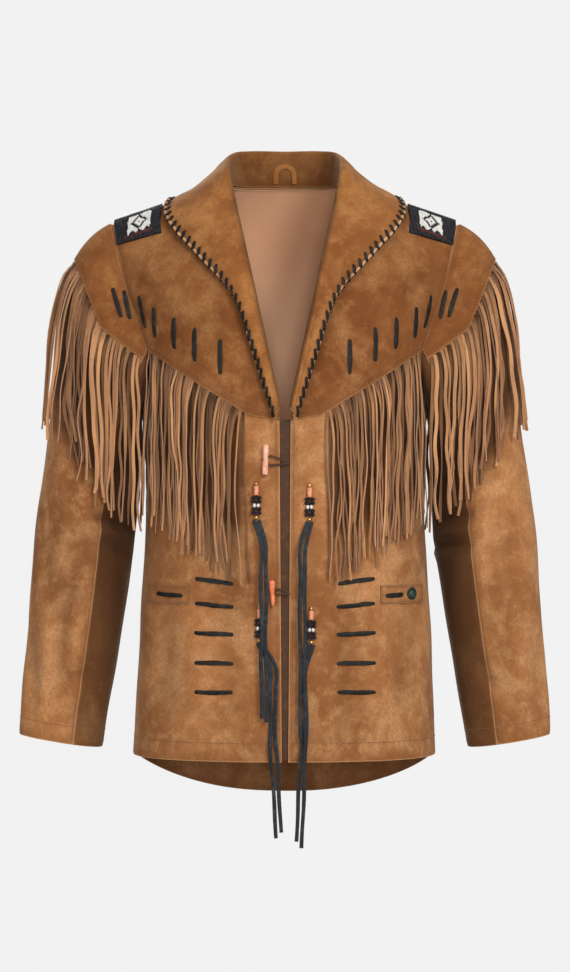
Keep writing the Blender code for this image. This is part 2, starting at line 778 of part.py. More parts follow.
def welt_grid(front):
    """The welt's points on the front panel, at its own edges and at each panel column it crosses."""
    whole = [column_at(front, x, POCKET.top_z) for x in (POCKET.inner_x, POCKET.outer_x)]
    between = range(math.ceil(whole[0]), math.floor(whole[1]) + 1)
    places = [whole[0], *between, whole[1]]
    rows = []
    for z in (POCKET.top_z, POCKET.bottom_z):
        rows.append([front.at(row_at(front, place, z), place) for place in places])
    points = np.array([[pair[0] for pair in row] for row in rows])
    normals = np.array([[pair[1] for pair in row] for row in rows])
    return Grid(points, unit(normals))


def row_at(grid, across, z):
    low, high = 0.0, len(grid.points) - 1.0
    for _ in range(40):
        middle = (low + high) / 2
        if grid.at(middle, across)[0][2] > z:
            low = middle
        else:
            high = middle
    return low


def column_at(grid, x, z):
    low, high = 0.0, grid.points.shape[1] - 1.0
    for _ in range(30):
        middle = (low + high) / 2
        if grid.at(row_at(grid, middle, z), middle)[0][0] < x:
            low = middle
        else:
            high = middle
    return low


BeadDrop = namedtuple("BeadDrop", "name x top")
BEAD_DROPS = (
    BeadDrop("bead_drop_upper_right", -0.0350, -0.3770),
    BeadDrop("bead_drop_upper_left", 0.0300, -0.3790),
    BeadDrop("bead_drop_lower_right", -0.0310, -0.5270),
    BeadDrop("bead_drop_lower_left", 0.0320, -0.5290),
)
BRASS_R = 0.0025
CORAL_R = 0.0030
JET_R = 0.0023
JET_OFFSET = 0.0038
DROP_HEIGHT = 0.046


def bead_drop(drop, skin):
    """A brass bead, a coral tube, a pair of jet tubes and a brass bead, joined as on their thread."""
    core = lathe(drop.name, (
        (0.0, 0.0), (BRASS_R, -0.0012), (BRASS_R, -0.0036), (0.0016, -0.0050),
        (CORAL_R, -0.0056), (CORAL_R, -0.0160), (0.0020, -0.0168), (0.0020, -0.0400),
        (BRASS_R, -0.0414), (BRASS_R, -0.0440), (0.0, -DROP_HEIGHT),
    ), BLACK, 8, roughness=0.3)
    place, _ = on_skin(skin, drop.x, drop.top - 0.02, CORAL_R + GAP + 0.0003)
    core.location = (drop.x, place[1], drop.top)
    for side in (-1, 1):
        jet = lathe(f"{drop.name}_jet_{side}", (
            (0.0, -0.0172), (JET_R, -0.0180), (JET_R, -0.0390), (0.0, -0.0398),
        ), BLACK, 6, roughness=0.3)
        jet.location = core.location + Vector((side * JET_OFFSET, 0.0, 0.0))
        JACKET.objects.unlink(jet)
        CUTTERS.objects.link(jet)
        join = core.modifiers.new("jet", "BOOLEAN")
        join.operation, join.object, join.solver = "UNION", jet, "EXACT"
    return core


THONG_WIDTH = 0.0050
THONG_THICK = 0.0015
THONG_PITCH = 0.0056
Thong = namedtuple("Thong", "name drop side x foot_x foot_z forward")
THONGS = (
    Thong("thong_upper_right_1", 0, -1, -0.0290, -0.0282, -0.6650, 0.0092),
    Thong("thong_upper_right_2", 0, 1, -0.0233, -0.0225, -0.6700, 0.0092),
    Thong("thong_upper_left_1", 1, -1, 0.0185, 0.0190, -0.6900, 0.0092),
    Thong("thong_upper_left_2", 1, 1, 0.0245, 0.0250, -0.6980, 0.0092),
    Thong("thong_lower_right_1", 2, -1, -0.0180, -0.0110, -0.8120, 0.0045),
    Thong("thong_lower_right_2", 2, 1, -0.0115, -0.0045, -0.8050, 0.0045),
    Thong("thong_lower_left_1", 3, -1, 0.0195, 0.0140, -0.8160, 0.0045),
    Thong("thong_lower_left_2", 3, 1, 0.0255, 0.0200, -0.8240, 0.0045),
)


def thong_path(thong, knot):
    """The thong's middle line, from under its beads down past the hem to its free end."""
    start_x = knot[0] + thong.side * THONG_PITCH / 2
    start_z = knot[2] - DROP_HEIGHT - 0.0005
    path = [np.array([start_x, knot[1], start_z])]
    for share in np.linspace(0.0, 1.0, 9)[1:]:
        z = start_z + share * (thong.foot_z - start_z)
        x = thong.x + max(share - 0.5, 0.0) * 2 * (thong.foot_x - thong.x)
        path.append(np.array([x, body_y(FRONT, x, max(z, HEM_Z)) - thong.forward, z]))
    return path


def add_thongs(knots):
    for thong in THONGS:
        path = thong_path(thong, knots[thong.drop])
        points, faces = bars(path, [THONG_WIDTH] * len(path), THONG_THICK, (1.0, 0.0, 0.0), (0.0, -1.0, 0.0))
        add_object(thong.name, points, faces, (0.03, 0.035, 0.04), roughness=0.7)


BAR_PROFILE = ((0.0, 0.0185), (0.0030, 0.0182), (0.0036, 0.0170),
               (0.0036, -0.0170), (0.0030, -0.0182), (0.0, -0.0185))
HORN_PROFILE = ((0.0, 0.0158), (0.0036, 0.0155), (0.0042, 0.0130),
                (0.0028, -0.0050), (0.0016, -0.0150), (0.0, -0.0160))
Toggle = namedtuple("Toggle", "name profile colour x z lean radius loop_x loop_z loop_spread")
TOGGLES = (
    Toggle("upper", BAR_PROFILE, PEACH, -0.0237, -0.3500, 2.0, 0.0036, -0.0195, -0.3510, 0.0055),
    Toggle("lower", HORN_PROFILE, CORAL, -0.0155, -0.5130, -4.0, 0.0042, -0.0115, -0.5110, 0.0030),
)
LOOP_RADIUS = 0.0011
LOOP_OUT = 0.0032
LOOP_REACH = 0.009
LOOP_POINT_X = 0.0055


def add_toggles(skin):
    """The bar and the horn on the wearer's right front, each with its thong loop."""
    for toggle in TOGGLES:
        made = lathe("toggle_" + toggle.name, toggle.profile, toggle.colour, 10, roughness=0.45)
        made.location, _ = on_skin(skin, toggle.x, toggle.z, toggle.radius + OVERLAY_GAP)
        made.rotation_euler = (0.0, math.radians(toggle.lean), 0.0)
        x, z, spread = toggle.loop_x, toggle.loop_z, toggle.loop_spread
        y = body_y(FRONT, 0.0, z) - LOOP_OUT
        path = [(x, y, z + spread), (x + LOOP_REACH, y, z + 0.6 * spread), (LOOP_POINT_X, y, z - 0.0025),
                (x + LOOP_REACH, y, z - 0.9 * spread), (x, y, z - spread)]
        cord_tube("toggle_loop_" + toggle.name, path, LOOP_RADIUS, DARK_BROWN)


CONCHO = (0.1565, -0.5155)
CONCHO_LIFT = 0.0004
CONCHO_PROFILE = ((0.0, 0.0052), (0.0030, 0.0048), (0.0058, 0.0034),
                  (0.0077, 0.0012), (0.0080, 0.0), (0.0, -0.0002))


def add_concho(skin):
    """The domed bead on the welt of the wearer's left pocket."""
    made = lathe("pocket_concho", CONCHO_PROFILE, (0.03, 0.05, 0.04), 12, roughness=0.2)
    place, normal = on_skin(skin, *CONCHO, CONCHO_LIFT)
    made.location = place
    made.rotation_euler = Vector(normal).to_track_quat("Z", "Y").to_euler()


def add_hang_loop(skin):
    """A strap arched over the middle of the neck seam, on the inside of the collar stand."""
    legs, rise = 0.0120, 0.0230
    path = []
    for share in np.linspace(0.0, 1.0, 11):
        turn = math.pi * share
        x = -legs * math.cos(turn) * (1 + 0.10 * math.sin(turn))
        z = 0.0085 + rise * math.sin(turn) ** 0.55
        place, _ = on_skin(skin, x, z, 0.0018, side=-0.02)
        path.append((x, place[1] - 0.0002, z))
    cord_tube("hang_loop", path, 0.0014, TAN)


def placket_grid(front):
    """The strip behind the front gap, from the inside points of both fronts."""
    rows = [0, *range(PATCH_ROWS + YOKE_ROWS, len(front.points))]
    edge, deep = [], []
    for row in rows:
        edge.append(front.at(row, 0.0))
        step = np.linalg.norm(front.points[row, 1] - front.points[row, 0])
        deep.append(front.at(row, min(0.016 / step, 1.0)))
    columns = [deep, edge]
    right = Grid(np.array([[c[r][0] for c in columns] for r in range(len(rows))]),
                 np.array([[c[r][1] for c in columns] for r in range(len(rows))]))
    return right.joined(right.mirrored(), 1)


def main():
    front, back = face_grid(FRONT), face_grid(BACK)
    seam = GAP / 2
    panel = front.inset(top=seam, last=seam)
    front_objects = add_wall_pair("front", panel, 0.0, WALL, TAN)
    half_back = back.inset(top=seam, last=seam)
    whole_back = half_back.doubled()
    add_wall("back_panel", whole_back, 0.0, WALL, TAN)

    yoke_row = PATCH_ROWS + YOKE_ROWS
    lift = OVERLAY_GAP + OVERLAY
    front_yoke = panel.cut(slice(0, yoke_row + 1)).inset(last=YOKE_INSET)
    yokes = add_wall_pair("yoke_front", front_yoke, lift, OVERLAY, TAN)
    back_yoke = whole_back.cut(slice(0, yoke_row + 1)).inset(first=YOKE_INSET, last=YOKE_INSET)
    yokes += (add_wall("yoke_back", back_yoke, lift, OVERLAY, TAN),)

    sleeve = sleeve_grid(front, back)
    split = ARM_ROWS
    turns = sleeve.points.shape[1] - 1
    top = sleeve.cut(slice(None), slice(split, turns - split + 1)).inset(first=seam, last=seam)
    add_wall_pair("sleeve_top", top, 0.0, WALL, TAN)
    under = sleeve.cut(slice(None), slice(turns - split, turns)).joined(
        sleeve.cut(slice(None), slice(0, split + 1)), 1).inset(first=seam, last=seam)
    add_wall_pair("sleeve_under", under, 0.0, WALL, TAN)
    sleeve_yoke = top.cut(slice(0, SLEEVE_YOKE_ROWS + 1)).inset(top=YOKE_INSET)
    sleeve_yokes = add_wall_pair("sleeve_yoke", sleeve_yoke, lift, OVERLAY, TAN)

    halves = (panel, top, under)
    shell = outer_skin([*halves, *(half.mirrored() for half in halves), whole_back])
    edge, lower, normals = fringe_lines(panel, yoke_row, FRONT_STRANDS, FRINGE_START, FRINGE_SHORT)
    add_pair("fringe_front", *comb(edge, lower, normals, shell, STRAND_STEPS), FRINGE_TAN)
    edge, lower, normals = fringe_lines(top, SLEEVE_YOKE_ROWS, SLEEVE_STRANDS)
    add_pair("fringe_sleeve", *comb(edge, lower, normals, shell, SLEEVE_STRAND_STEPS), FRINGE_TAN)
    edge, lower, normals = fringe_lines(whole_back, yoke_row, BACK_STRANDS, FRINGE_SHORT, FRINGE_SHORT)
    add_object("fringe_back", *comb(edge, lower, normals, shell, STRAND_STEPS), FRINGE_TAN)

    collar = collar_grid(panel, half_back, skin_of(yokes))
    collar_object = add_wall("collar", collar, COLLAR_WALL / 2, COLLAR_WALL, TAN)
    lining_row = PATCH_ROWS + YOKE_ROWS + ARM_ROWS + SKIRT_ROWS - 1
    lining = whole_back.cut(slice(0, lining_row + 1)).inset(0.001, 0.0, 0.001, 0.001)
    add_wall("back_lining", lining, -WALL - OVERLAY_GAP, LINING, MAUVE)
    placket = placket_grid(panel).inset(bottom=0.006)
    add_wall("front_placket", placket, -WALL - 0.0005, 0.0014, DARK_BROWN)

    patch_column = len(NECK_HEIGHTS) + PATCH_FIRST
    back_column = len(BACK_NECK_XS) + PATCH_FIRST
    patch_front = panel.cut(slice(PATCH_ROWS, 0, -1), slice(patch_column, None))
    ridge_row = Grid(front.points[:1, patch_column:], front.normals[:1, patch_column:])
    patch_back = half_back.cut(slice(1, PATCH_ROWS + 1), slice(back_column, None))
    patch = patch_front.joined(ridge_row, 0).joined(patch_back, 0).inset(first=0.002, last=YOKE_INSET)
    add_wall_pair("shoulder_patch", patch, lift + GAP + 0.0018, 0.0018, BLACK)

    welts = add_wall_pair("pocket_welt", welt_grid(panel), OVERLAY_GAP + OVERLAY, OVERLAY, TAN)
    add_concho(skin_of([welts[0]]))
    yoke_skin = skin_of([yokes[0]])
    for lace in YOKE_LACES:
        add_pair(lace.name, *lace_bar(lace, yoke_skin), BLACK)
    arm_skin = skin_of([sleeve_yokes[0]])
    for lace in SLEEVE_LACES:
        add_pair(lace.name, *lace_bar(lace, arm_skin), BLACK)
    add_hang_loop(skin_of([collar_object]))

    fronts = skin_of(front_objects)
    add_thongs([bead_drop(drop, fronts).location for drop in BEAD_DROPS])
    add_toggles(fronts)


def new_collection(name):
    made = bpy.data.collections.new(name)
    bpy.context.scene.collection.children.link(made)
    return made


clear_scene()
JACKET = new_collection("western_fringed_jacket")
CUTTERS = new_collection("cutters")
CUTTERS.hide_render = True
main()
for cutter in CUTTERS.objects:
    cutter.hide_render = True
    cutter.display_type = "WIRE"
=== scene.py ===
"""The looks of the western fringed suede jacket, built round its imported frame.

Metres, in the frame's own axes: the front faces -Y and the wearer's left is +X.
"""

import math
from collections import namedtuple

import bmesh
import bpy
import numpy as np
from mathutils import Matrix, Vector
from mathutils.bvhtree import BVHTree


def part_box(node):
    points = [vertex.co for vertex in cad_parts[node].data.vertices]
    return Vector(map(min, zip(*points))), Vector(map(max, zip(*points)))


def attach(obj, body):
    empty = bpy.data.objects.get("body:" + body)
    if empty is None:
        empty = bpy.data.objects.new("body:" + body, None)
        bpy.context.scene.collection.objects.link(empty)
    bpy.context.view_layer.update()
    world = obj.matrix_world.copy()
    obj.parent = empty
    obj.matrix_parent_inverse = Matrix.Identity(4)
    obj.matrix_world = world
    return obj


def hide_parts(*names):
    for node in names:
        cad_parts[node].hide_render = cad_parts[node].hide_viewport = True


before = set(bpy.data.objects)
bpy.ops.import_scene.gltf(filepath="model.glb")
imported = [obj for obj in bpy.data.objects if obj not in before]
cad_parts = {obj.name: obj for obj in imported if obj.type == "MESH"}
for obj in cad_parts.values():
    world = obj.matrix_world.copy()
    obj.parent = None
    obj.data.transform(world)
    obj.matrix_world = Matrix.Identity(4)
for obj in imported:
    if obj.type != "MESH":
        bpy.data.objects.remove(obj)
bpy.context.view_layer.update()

# Camera: level, at the height of the photo's middle row
CAMERA_DISTANCE = 3.2
CAMERA_Z = -0.382
FRAME_HEIGHT = 1.2344

# Thicknesses, overlays and edge rolls
WALL = 0.0020
OVERLAY = 0.0016
LINING = 0.0010
OVERLAY_GAP = 0.0006
YOKE_TOP = OVERLAY_GAP + OVERLAY
PATCH_TOP = YOKE_TOP + 0.0021
PATCH_WALL = 0.0018
PLACKET_WALL = 0.0014
ARMHOLE_ROLL = 0.0011
COLLAR_ROLL = 0.0017

# Neck, shoulder and hem
NECK_X = 0.070
NECK_RISE = 0.035
BACK_NECK_RISE = 0.005
SHOULDER_X = 0.2175
SHOULDER_DROP = 0.050
UNDERARM_Z = -0.290
HEM_Z = -0.720
TAIL_DROP = 0.063
V_X = 0.007
V_Z = -0.287
FRONT_EDGE_HEM_X = 0.004
SQUARENESS = 2.3
HEM_TURN = 0.023
CUFF_TURN = 0.022

Section = namedtuple("Section", "z half_width front_depth back_depth")
BODY = (
    Section(-0.800, 0.1945, 0.119, 0.118),
    Section(-0.720, 0.1920, 0.121, 0.116),
    Section(-0.620, 0.1860, 0.124, 0.107),
    Section(-0.500, 0.1800, 0.126, 0.101),
    Section(-0.400, 0.1765, 0.128, 0.104),
    Section(-0.290, 0.1815, 0.129, 0.113),
    Section(-0.200, 0.1930, 0.128, 0.117),
    Section(-0.120, 0.2150, 0.126, 0.116),
    Section(-0.050, 0.2360, 0.125, 0.114),
    Section(0.040, 0.2520, 0.124, 0.112),
)
Armhole = namedtuple("Armhole", "z front_x back_x")
ARMHOLE = (
    Armhole(-0.290, 0.1815, 0.1815),
    Armhole(-0.265, 0.1735, 0.1760),
    Armhole(-0.225, 0.1690, 0.1730),
    Armhole(-0.180, 0.1815, 0.1830),
    Armhole(-0.135, 0.1965, 0.1965),
    Armhole(-0.100, 0.2060, 0.2055),
    Armhole(-0.050, 0.2175, 0.2175),
)
YokeEdge = namedtuple("YokeEdge", "x front_z back_z")
YOKE_EDGE = (
    YokeEdge(0.000, -0.3025, -0.3060),
    YokeEdge(0.044, -0.2955, -0.2880),
    YokeEdge(0.128, -0.2420, -0.2380),
    YokeEdge(0.172, -0.2125, -0.2125),
    YokeEdge(0.230, -0.2125, -0.2125),
)
YOKE_SIDE_Z = -0.2125
YOKE_INSET = 0.0022
SleeveRing = namedtuple("SleeveRing", "z x y half_width half_depth tilt")
SLEEVE = (
    SleeveRing(-0.702, 0.2825, -0.019, 0.0525, 0.0420, 9.0),
    SleeveRing(-0.654, 0.2776, -0.015, 0.0545, 0.0450, 9.0),
    SleeveRing(-0.603, 0.2708, -0.010, 0.0562, 0.0490, 9.0),
    SleeveRing(-0.527, 0.2617, -0.004, 0.0597, 0.0540, 9.0),
    SleeveRing(-0.450, 0.2540, 0.000, 0.0635, 0.0585, 10.0),
    SleeveRing(-0.335, 0.2425, 0.002, 0.0590, 0.0640, 12.0),
)
CUFF_Z = -0.702
BICEP_Z = -0.335
SleeveYoke = namedtuple("SleeveYoke", "turn reach")
SLEEVE_YOKE = (
    SleeveYoke(0.0, 0.012),
    SleeveYoke(70.0, 0.014),
    SleeveYoke(106.0, 0.060),
    SleeveYoke(140.0, 0.064),
    SleeveYoke(180.0, 0.068),
)
NECK_HEIGHTS = (-0.287, -0.215, -0.150, -0.090, -0.040)
BACK_NECK_XS = (0.0, 0.0233, 0.0467)
RIDGE_XS = (0.070, 0.0973, 0.1247, 0.152, 0.174, 0.196, 0.2175)

# Rows and columns of the fine grids
ACROSS = 4
YOKE_ROWS = 34
ARM_ROWS = 16
SKIRT_ROWS = 52
SLEEVE_YOKE_ROWS = 14
SLEEVE_HEAD_ROWS = 16
SLEEVE_ARM_ROWS = 60

# Each side's sign along X, and which edge of its grids faces out and in
SIDES = {"left": 1.0, "right": -1.0}
OUTER_EDGE = {"left": "last", "right": "first"}
INNER_EDGE = {"left": "first", "right": "last"}

# Distances of the stitching from each edge
SEAM = 0.0030
SECOND_SEAM = 0.0090
FRONT_SEAM = 0.0045
WELT_SEAM = 0.0020

Face = namedtuple("Face", "sign depth edge yoke round_over power")
FRONT = Face(-1.0, "front_depth", "front_x", "front_z", 0.20, 0.65)
BACK = Face(1.0, "back_depth", "back_x", "back_z", 0.14, 0.55)


# Curves and tables


def column(rows, name):
    return np.array([getattr(row, name) for row in rows])


def smooth(rows, key, name, at):
    """The named column at a place, by a cubic through the table's rows."""
    keys, values = column(rows, key), column(rows, name)
    slopes = np.gradient(values, keys)
    at = np.clip(at, keys[0], keys[-1])
    k = np.clip(np.searchsorted(keys, at, side="right") - 1, 0, len(keys) - 2)
    step = keys[k + 1] - keys[k]
    t = (at - keys[k]) / step
    ends = (1 + 2 * t) * (1 - t) ** 2 * values[k] + t * t * (3 - 2 * t) * values[k + 1]
    return ends + step * (t * (1 - t) ** 2 * slopes[k] - t * t * (1 - t) * slopes[k + 1])


def straight(rows, key, name, at):
    return np.interp(at, column(rows, key), column(rows, name))


def spline(points, at):
    """Places on a Catmull-Rom curve through the points, by fractional index."""
    points, at = np.asarray(points, float), np.asarray(at, float)
    slopes = np.gradient(points, axis=0)
    k = np.clip(at.astype(int), 0, len(points) - 2)
    t = (at - k)[:, None]
    ends = (1 + 2 * t) * (1 - t) ** 2 * points[k] + t * t * (3 - 2 * t) * points[k + 1]
    return ends + t * (1 - t) ** 2 * slopes[k] - t * t * (1 - t) * slopes[k + 1]


def unit(vectors):
    vectors = np.asarray(vectors, float)
    return vectors / np.maximum(np.linalg.norm(vectors, axis=-1, keepdims=True), 1e-12)


def run_of(line):
    """The distance covered along a line of points."""
    return np.concatenate([[0.0], np.cumsum(np.linalg.norm(np.diff(line, axis=0), axis=1))])


def line_at(run, line, at):
    """The line's values at distances of its run."""
    return np.stack([np.interp(at, run, line[:, k]) for k in range(3)], -1)


def softened(line, times):
    """The line, each inner point drawn towards its neighbours this many times."""
    for _ in range(times):
        line[1:-1] = 0.25 * line[:-2] + 0.5 * line[1:-1] + 0.25 * line[2:]
    return line


def signed_power(base, power):
    return np.sign(base) * np.abs(base) ** power


# The torso form


def half_width(z):
    return smooth(BODY, "z", "half_width", z)


def ridge(x):
    """Height of the shoulder line, with its rise across the neck."""
    x = np.abs(x)
    outside = -SHOULDER_DROP * (x - NECK_X) / (SHOULDER_X - NECK_X)
    return np.where(x < NECK_X, NECK_RISE * (1 - (x / NECK_X) ** 2), outside)


def closure(face, drop):
    """How far the face has left the shoulder line, from 0 on it to 1 at full depth."""
    u = np.clip(drop / face.round_over, 0.0, 1.0)
    return (1 - (1 - u) ** 2) ** face.power


def body_point(face, angle, z):
    half = half_width(z)
    x = half * signed_power(np.sin(angle), 2 / SQUARENESS)
    depth = smooth(BODY, "z", face.depth, z) * signed_power(np.cos(angle), 2 / SQUARENESS)
    y = face.sign * depth * closure(face, ridge(x) - z)
    return np.stack(np.broadcast_arrays(x, y, z), axis=-1)


def body_y(face, x, z):
    """The face's depth straight in from a place on the front view."""
    across = np.clip(1 - (np.abs(x) / half_width(z)) ** SQUARENESS, 0.0, 1.0) ** (1 / SQUARENESS)
    return face.sign * smooth(BODY, "z", face.depth, z) * across * closure(face, ridge(x) - z)


def angle_of(x, z):
    return np.arcsin(np.clip(x / half_width(z), 0.0, 1.0) ** (SQUARENESS / 2))


def front_edge_x(z):
    return V_X + (FRONT_EDGE_HEM_X - V_X) * np.clip((V_Z - z) / (V_Z - HEM_Z), 0.0, 1.0)


def angle_limits(face, z):
    inner = angle_of(front_edge_x(z), z) if face is FRONT else np.zeros_like(z)
    outer = angle_of(smooth(ARMHOLE, "z", face.edge, z), z)
    return inner, np.where(z <= UNDERARM_Z, math.pi / 2, outer)


def angle_at(face, share, z):
    inner, outer = angle_limits(face, z)
    return inner + share * (outer - inner)


def share_of(face, x, z):
    x, z = np.asarray(x, float), np.asarray(z, float)
    inner, outer = angle_limits(face, z)
    return (angle_of(x, z) - inner) / (outer - inner)


def neckline(face, x):
    if face is FRONT:
        return V_Z + (x - V_X) / (NECK_X - V_X) * -V_Z
    return BACK_NECK_RISE * (1 - (x / NECK_X) ** 2)


def top_limit(face, x):
    return np.where(x < NECK_X, neckline(face, x), ridge(x))


def yoke_limit(face, x):
    return straight(YOKE_EDGE, "x", face.yoke, x)


def height_where(face, share, limit):
    """The height at which each column of the face crosses a line given by x."""
    low, high = np.full_like(share, -0.6), np.full_like(share, 0.04)
    for _ in range(50):
        middle = (low + high) / 2
        x = body_point(face, angle_at(face, share, middle), middle)[..., 0]
        above = middle > limit(face, x)
        high = np.where(above, middle, high)
        low = np.where(above, low, middle)
    return (low + high) / 2


def body_normal(face, share, z):
    angle = angle_at(face, share, z)
    across = body_point(face, angle + 1e-3, z) - body_point(face, angle - 1e-3, z)
    up = body_point(face, angle, z + 2e-4) - body_point(face, angle, z - 2e-4)
    return unit(-face.sign * np.cross(across, up))


def fine_places(count):
    """Fractional columns: even, and closer together beside both edges."""
    even_places = np.linspace(0, count - 1, (count - 1) * ACROSS + 1)
    near = np.array([0.12, 0.45]) / ACROSS
    return np.sort(np.concatenate([even_places, near, count - 1 - near]))


def face_columns(face):
    """The fractional columns of the face, and each one's share of the way to the armhole."""
    if face is FRONT:
        heights = np.array(NECK_HEIGHTS)
        xs = V_X + (heights - V_Z) / -V_Z * (NECK_X - V_X)
    else:
        xs = np.array(BACK_NECK_XS)
        heights = neckline(BACK, xs)
    ridge_xs = np.array(RIDGE_XS)
    coarse = np.concatenate([share_of(face, xs, heights), share_of(face, ridge_xs, ridge(ridge_xs))])
    places = fine_places(len(coarse))
    return places, np.interp(places, np.arange(len(coarse)), coarse)


def stack_rows(levels, steps):
    """Heights from one level to the next, each stretch in its own fractions."""
    rows = [levels[0]]
    for upper, lower, fractions in zip(levels, levels[1:], steps):
        rows += [upper + fraction * (lower - upper) for fraction in fractions]
    return np.array(rows)


def even(count, power=1.0):
    return [((i + 1) / count) ** power for i in range(count)]


class Grid:
    """Points of a surface in rows and columns, the way out at each, and its place for the creases."""

    def __init__(self, points, normals, place=None):
        self.points, self.normals = points, normals
        self.place = points[..., [0, 2]] if place is None else place

    def cut(self, rows, columns=slice(None)):
        return Grid(*(a[rows][:, columns] for a in (self.points, self.normals, self.place)))

    def mirrored(self):
        flip = np.array([-1.0, 1.0, 1.0])
        place = self.place * np.array([-1.0, 1.0])
        return Grid((self.points * flip)[:, ::-1], (self.normals * flip)[:, ::-1], place[:, ::-1])

    def joined(self, other, axis):
        return Grid(*(np.concatenate(pair, axis) for pair in (
            (self.points, other.points), (self.normals, other.normals), (self.place, other.place))))

    def doubled(self):
        return self.mirrored().cut(slice(None), slice(0, -1)).joined(self, 1)

    def lifted(self, out):
        return Grid(self.points + self.normals * np.asarray(out)[..., None], self.normals, self.place)

    def inset(self, top=0.0, bottom=0.0, first=0.0, last=0.0):
        """The grid with its edges drawn in along the surface by these distances."""
        points = self.points.copy()
        for edge, inner, by in ((0, 4, top), (-1, -5, bottom)):
            points[edge] += by * unit(points[inner] - points[edge])
        for edge, inner, by in ((0, 4, first), (-1, -5, last)):
            points[:, edge] += by * unit(points[:, inner] - points[:, edge])
        return Grid(points, self.normals, self.place)

    def at(self, row, across):
        """Point and normal at fractional rows and columns."""
        row = np.clip(row, 0, len(self.points) - 1.001)
        across = np.clip(across, 0, self.points.shape[1] - 1.001)
        r, c = row.astype(int), across.astype(int)
        t, s = (row - r)[..., None], (across - c)[..., None]
        made = []
        for a in (self.points, self.normals):
            made.append((1 - t) * ((1 - s) * a[r, c] + s * a[r, c + 1])
                        + t * ((1 - s) * a[r + 1, c] + s * a[r + 1, c + 1]))
        return made[0], unit(made[1])


def face_grid(face):
    """Half of the front or back from the neck line and shoulder down, with its fractional columns."""
    places, share = face_columns(face)
    top = height_where(face, share, top_limit)
    yoke = height_where(face, share, yoke_limit)
    under = UNDERARM_Z - 0.075 * (1 - share)
    tail = TAIL_DROP * np.cos(share * math.pi / 2) ** 1.5 if face is BACK else 0.0
    hem = HEM_Z - tail * np.ones_like(share)
    turn = hem + HEM_TURN
    z = stack_rows(
        (top, yoke, under, turn, hem),
        (even(YOKE_ROWS, 1.5), even(ARM_ROWS), even(SKIRT_ROWS - 6), (0.08, 0.2, 0.45, 0.7, 0.92, 1.0)),
    )
    z[YOKE_ROWS, -1] = YOKE_SIDE_Z
    shares = np.broadcast_to(share, z.shape)
    points = body_point(face, angle_at(face, shares, z), z)
    normals = body_normal(face, shares, z)
    shoulder = points[0, :, 0] >= NECK_X - 1e-6
    slope = SHOULDER_DROP / (SHOULDER_X - NECK_X)
    points[0, shoulder, 1] = 0.0
    normals[0, shoulder] = unit([slope, 0.0, 1.0])
    return Grid(points, normals), places


# The sleeve form


def sleeve_ring(z, turn):
    at = {name: smooth(SLEEVE, "z", name, z) for name in SleeveRing._fields[1:]}
    out = -at["half_width"] * np.cos(turn)
    rise = out * np.tan(np.radians(at["tilt"]))
    y = at["y"] - at["half_depth"] * np.sin(turn)
    return np.stack(np.broadcast_arrays(at["x"] + out, y, z + rise), -1)


def hermite(start, leave, end, arrive, t):
    t = t[..., None]
    ends = (1 + 2 * t) * (1 - t) ** 2 * start + t * t * (3 - 2 * t) * end
    return ends + t * (1 - t) ** 2 * leave - t * t * (1 - t) * arrive


SLEEVE_GAP = 0.00045
TOP_WAY = (0.92, 0.0, -0.39)
UNDER_WAY = (0.10, 0.0, -1.0)


def armhole_line(front, back):
    """The sleeve's first points beside the armhole, its way from there, and each point's turn."""
    last = YOKE_ROWS + ARM_ROWS
    edge = np.concatenate([front.points[last::-1, -1], back.points[1:last + 1, -1]])
    outward = np.concatenate([front.normals[last::-1, -1], back.normals[1:last + 1, -1]])
    middle, reach = (UNDERARM_Z - SHOULDER_DROP) / 2, (UNDERARM_Z + SHOULDER_DROP) / 2
    turn = np.arccos(np.clip((edge[:, 2] - middle) / reach, -1, 1))
    turn[last + 1:] = 2 * math.pi - turn[last + 1:]
    up = ((1 - np.cos(turn)) / 2)[:, None]
    leave = unit(up * np.array(TOP_WAY) + (1 - up) * np.array(UNDER_WAY)
                 - 0.25 * np.sin(turn)[:, None] * np.array([0.0, 1.0, 0.0]))
    return edge + SLEEVE_GAP * unit(leave + outward), leave, turn


def yoke_shares(head, turn):
    """How far down the sleeve's head the sleeve yoke's edge lies, at each turn."""
    fine = np.linspace(0.0, 1.0, 81)
    path = np.array([head(t) for t in fine])
    lengths = np.linalg.norm(np.diff(path, axis=0), axis=2)
    run = np.concatenate([np.zeros((1, len(turn))), np.cumsum(lengths, 0)])
    wanted = straight(SLEEVE_YOKE, "turn", "reach", np.degrees(np.minimum(turn, 2 * math.pi - turn)))
    return np.array([np.interp(w, run[:, i], fine) for i, w in enumerate(wanted)])


def sleeve_grid(front, back):
    """The whole sleeve, from the underarm round by the front, the top and the back to the underarm."""
    start, leave, turn = armhole_line(front, back)
    end = sleeve_ring(BICEP_Z, turn)
    arrive = unit(sleeve_ring(BICEP_Z - 0.01, turn) - end)
    chord = np.linalg.norm(end - start, axis=1)[:, None]

    def head(t):
        return hermite(start, leave * chord, end, arrive * chord, np.broadcast_to(t, turn.shape))

    yoke = yoke_shares(head, turn)
    steps = stack_rows((np.zeros_like(yoke), yoke, np.ones_like(yoke)),
                       (even(SLEEVE_YOKE_ROWS), even(SLEEVE_HEAD_ROWS)))
    rows = [head(t) for t in steps]
    heights = [BICEP_Z + fraction * (CUFF_Z - BICEP_Z) for fraction in even(SLEEVE_ARM_ROWS)]
    rows += [sleeve_ring(z, turn) for z in heights]
    points = np.array(rows)
    down = np.gradient(points, axis=0)
    round_ = np.empty_like(points)
    round_[:, 1:-1] = points[:, 2:] - points[:, :-2]
    round_[:, 0] = round_[:, -1] = points[:, 1] - points[:, -2]
    turns = np.broadcast_to(turn, points.shape[:2])
    return Grid(points, unit(np.cross(down, round_)), np.stack([turns, points[..., 2]], -1))


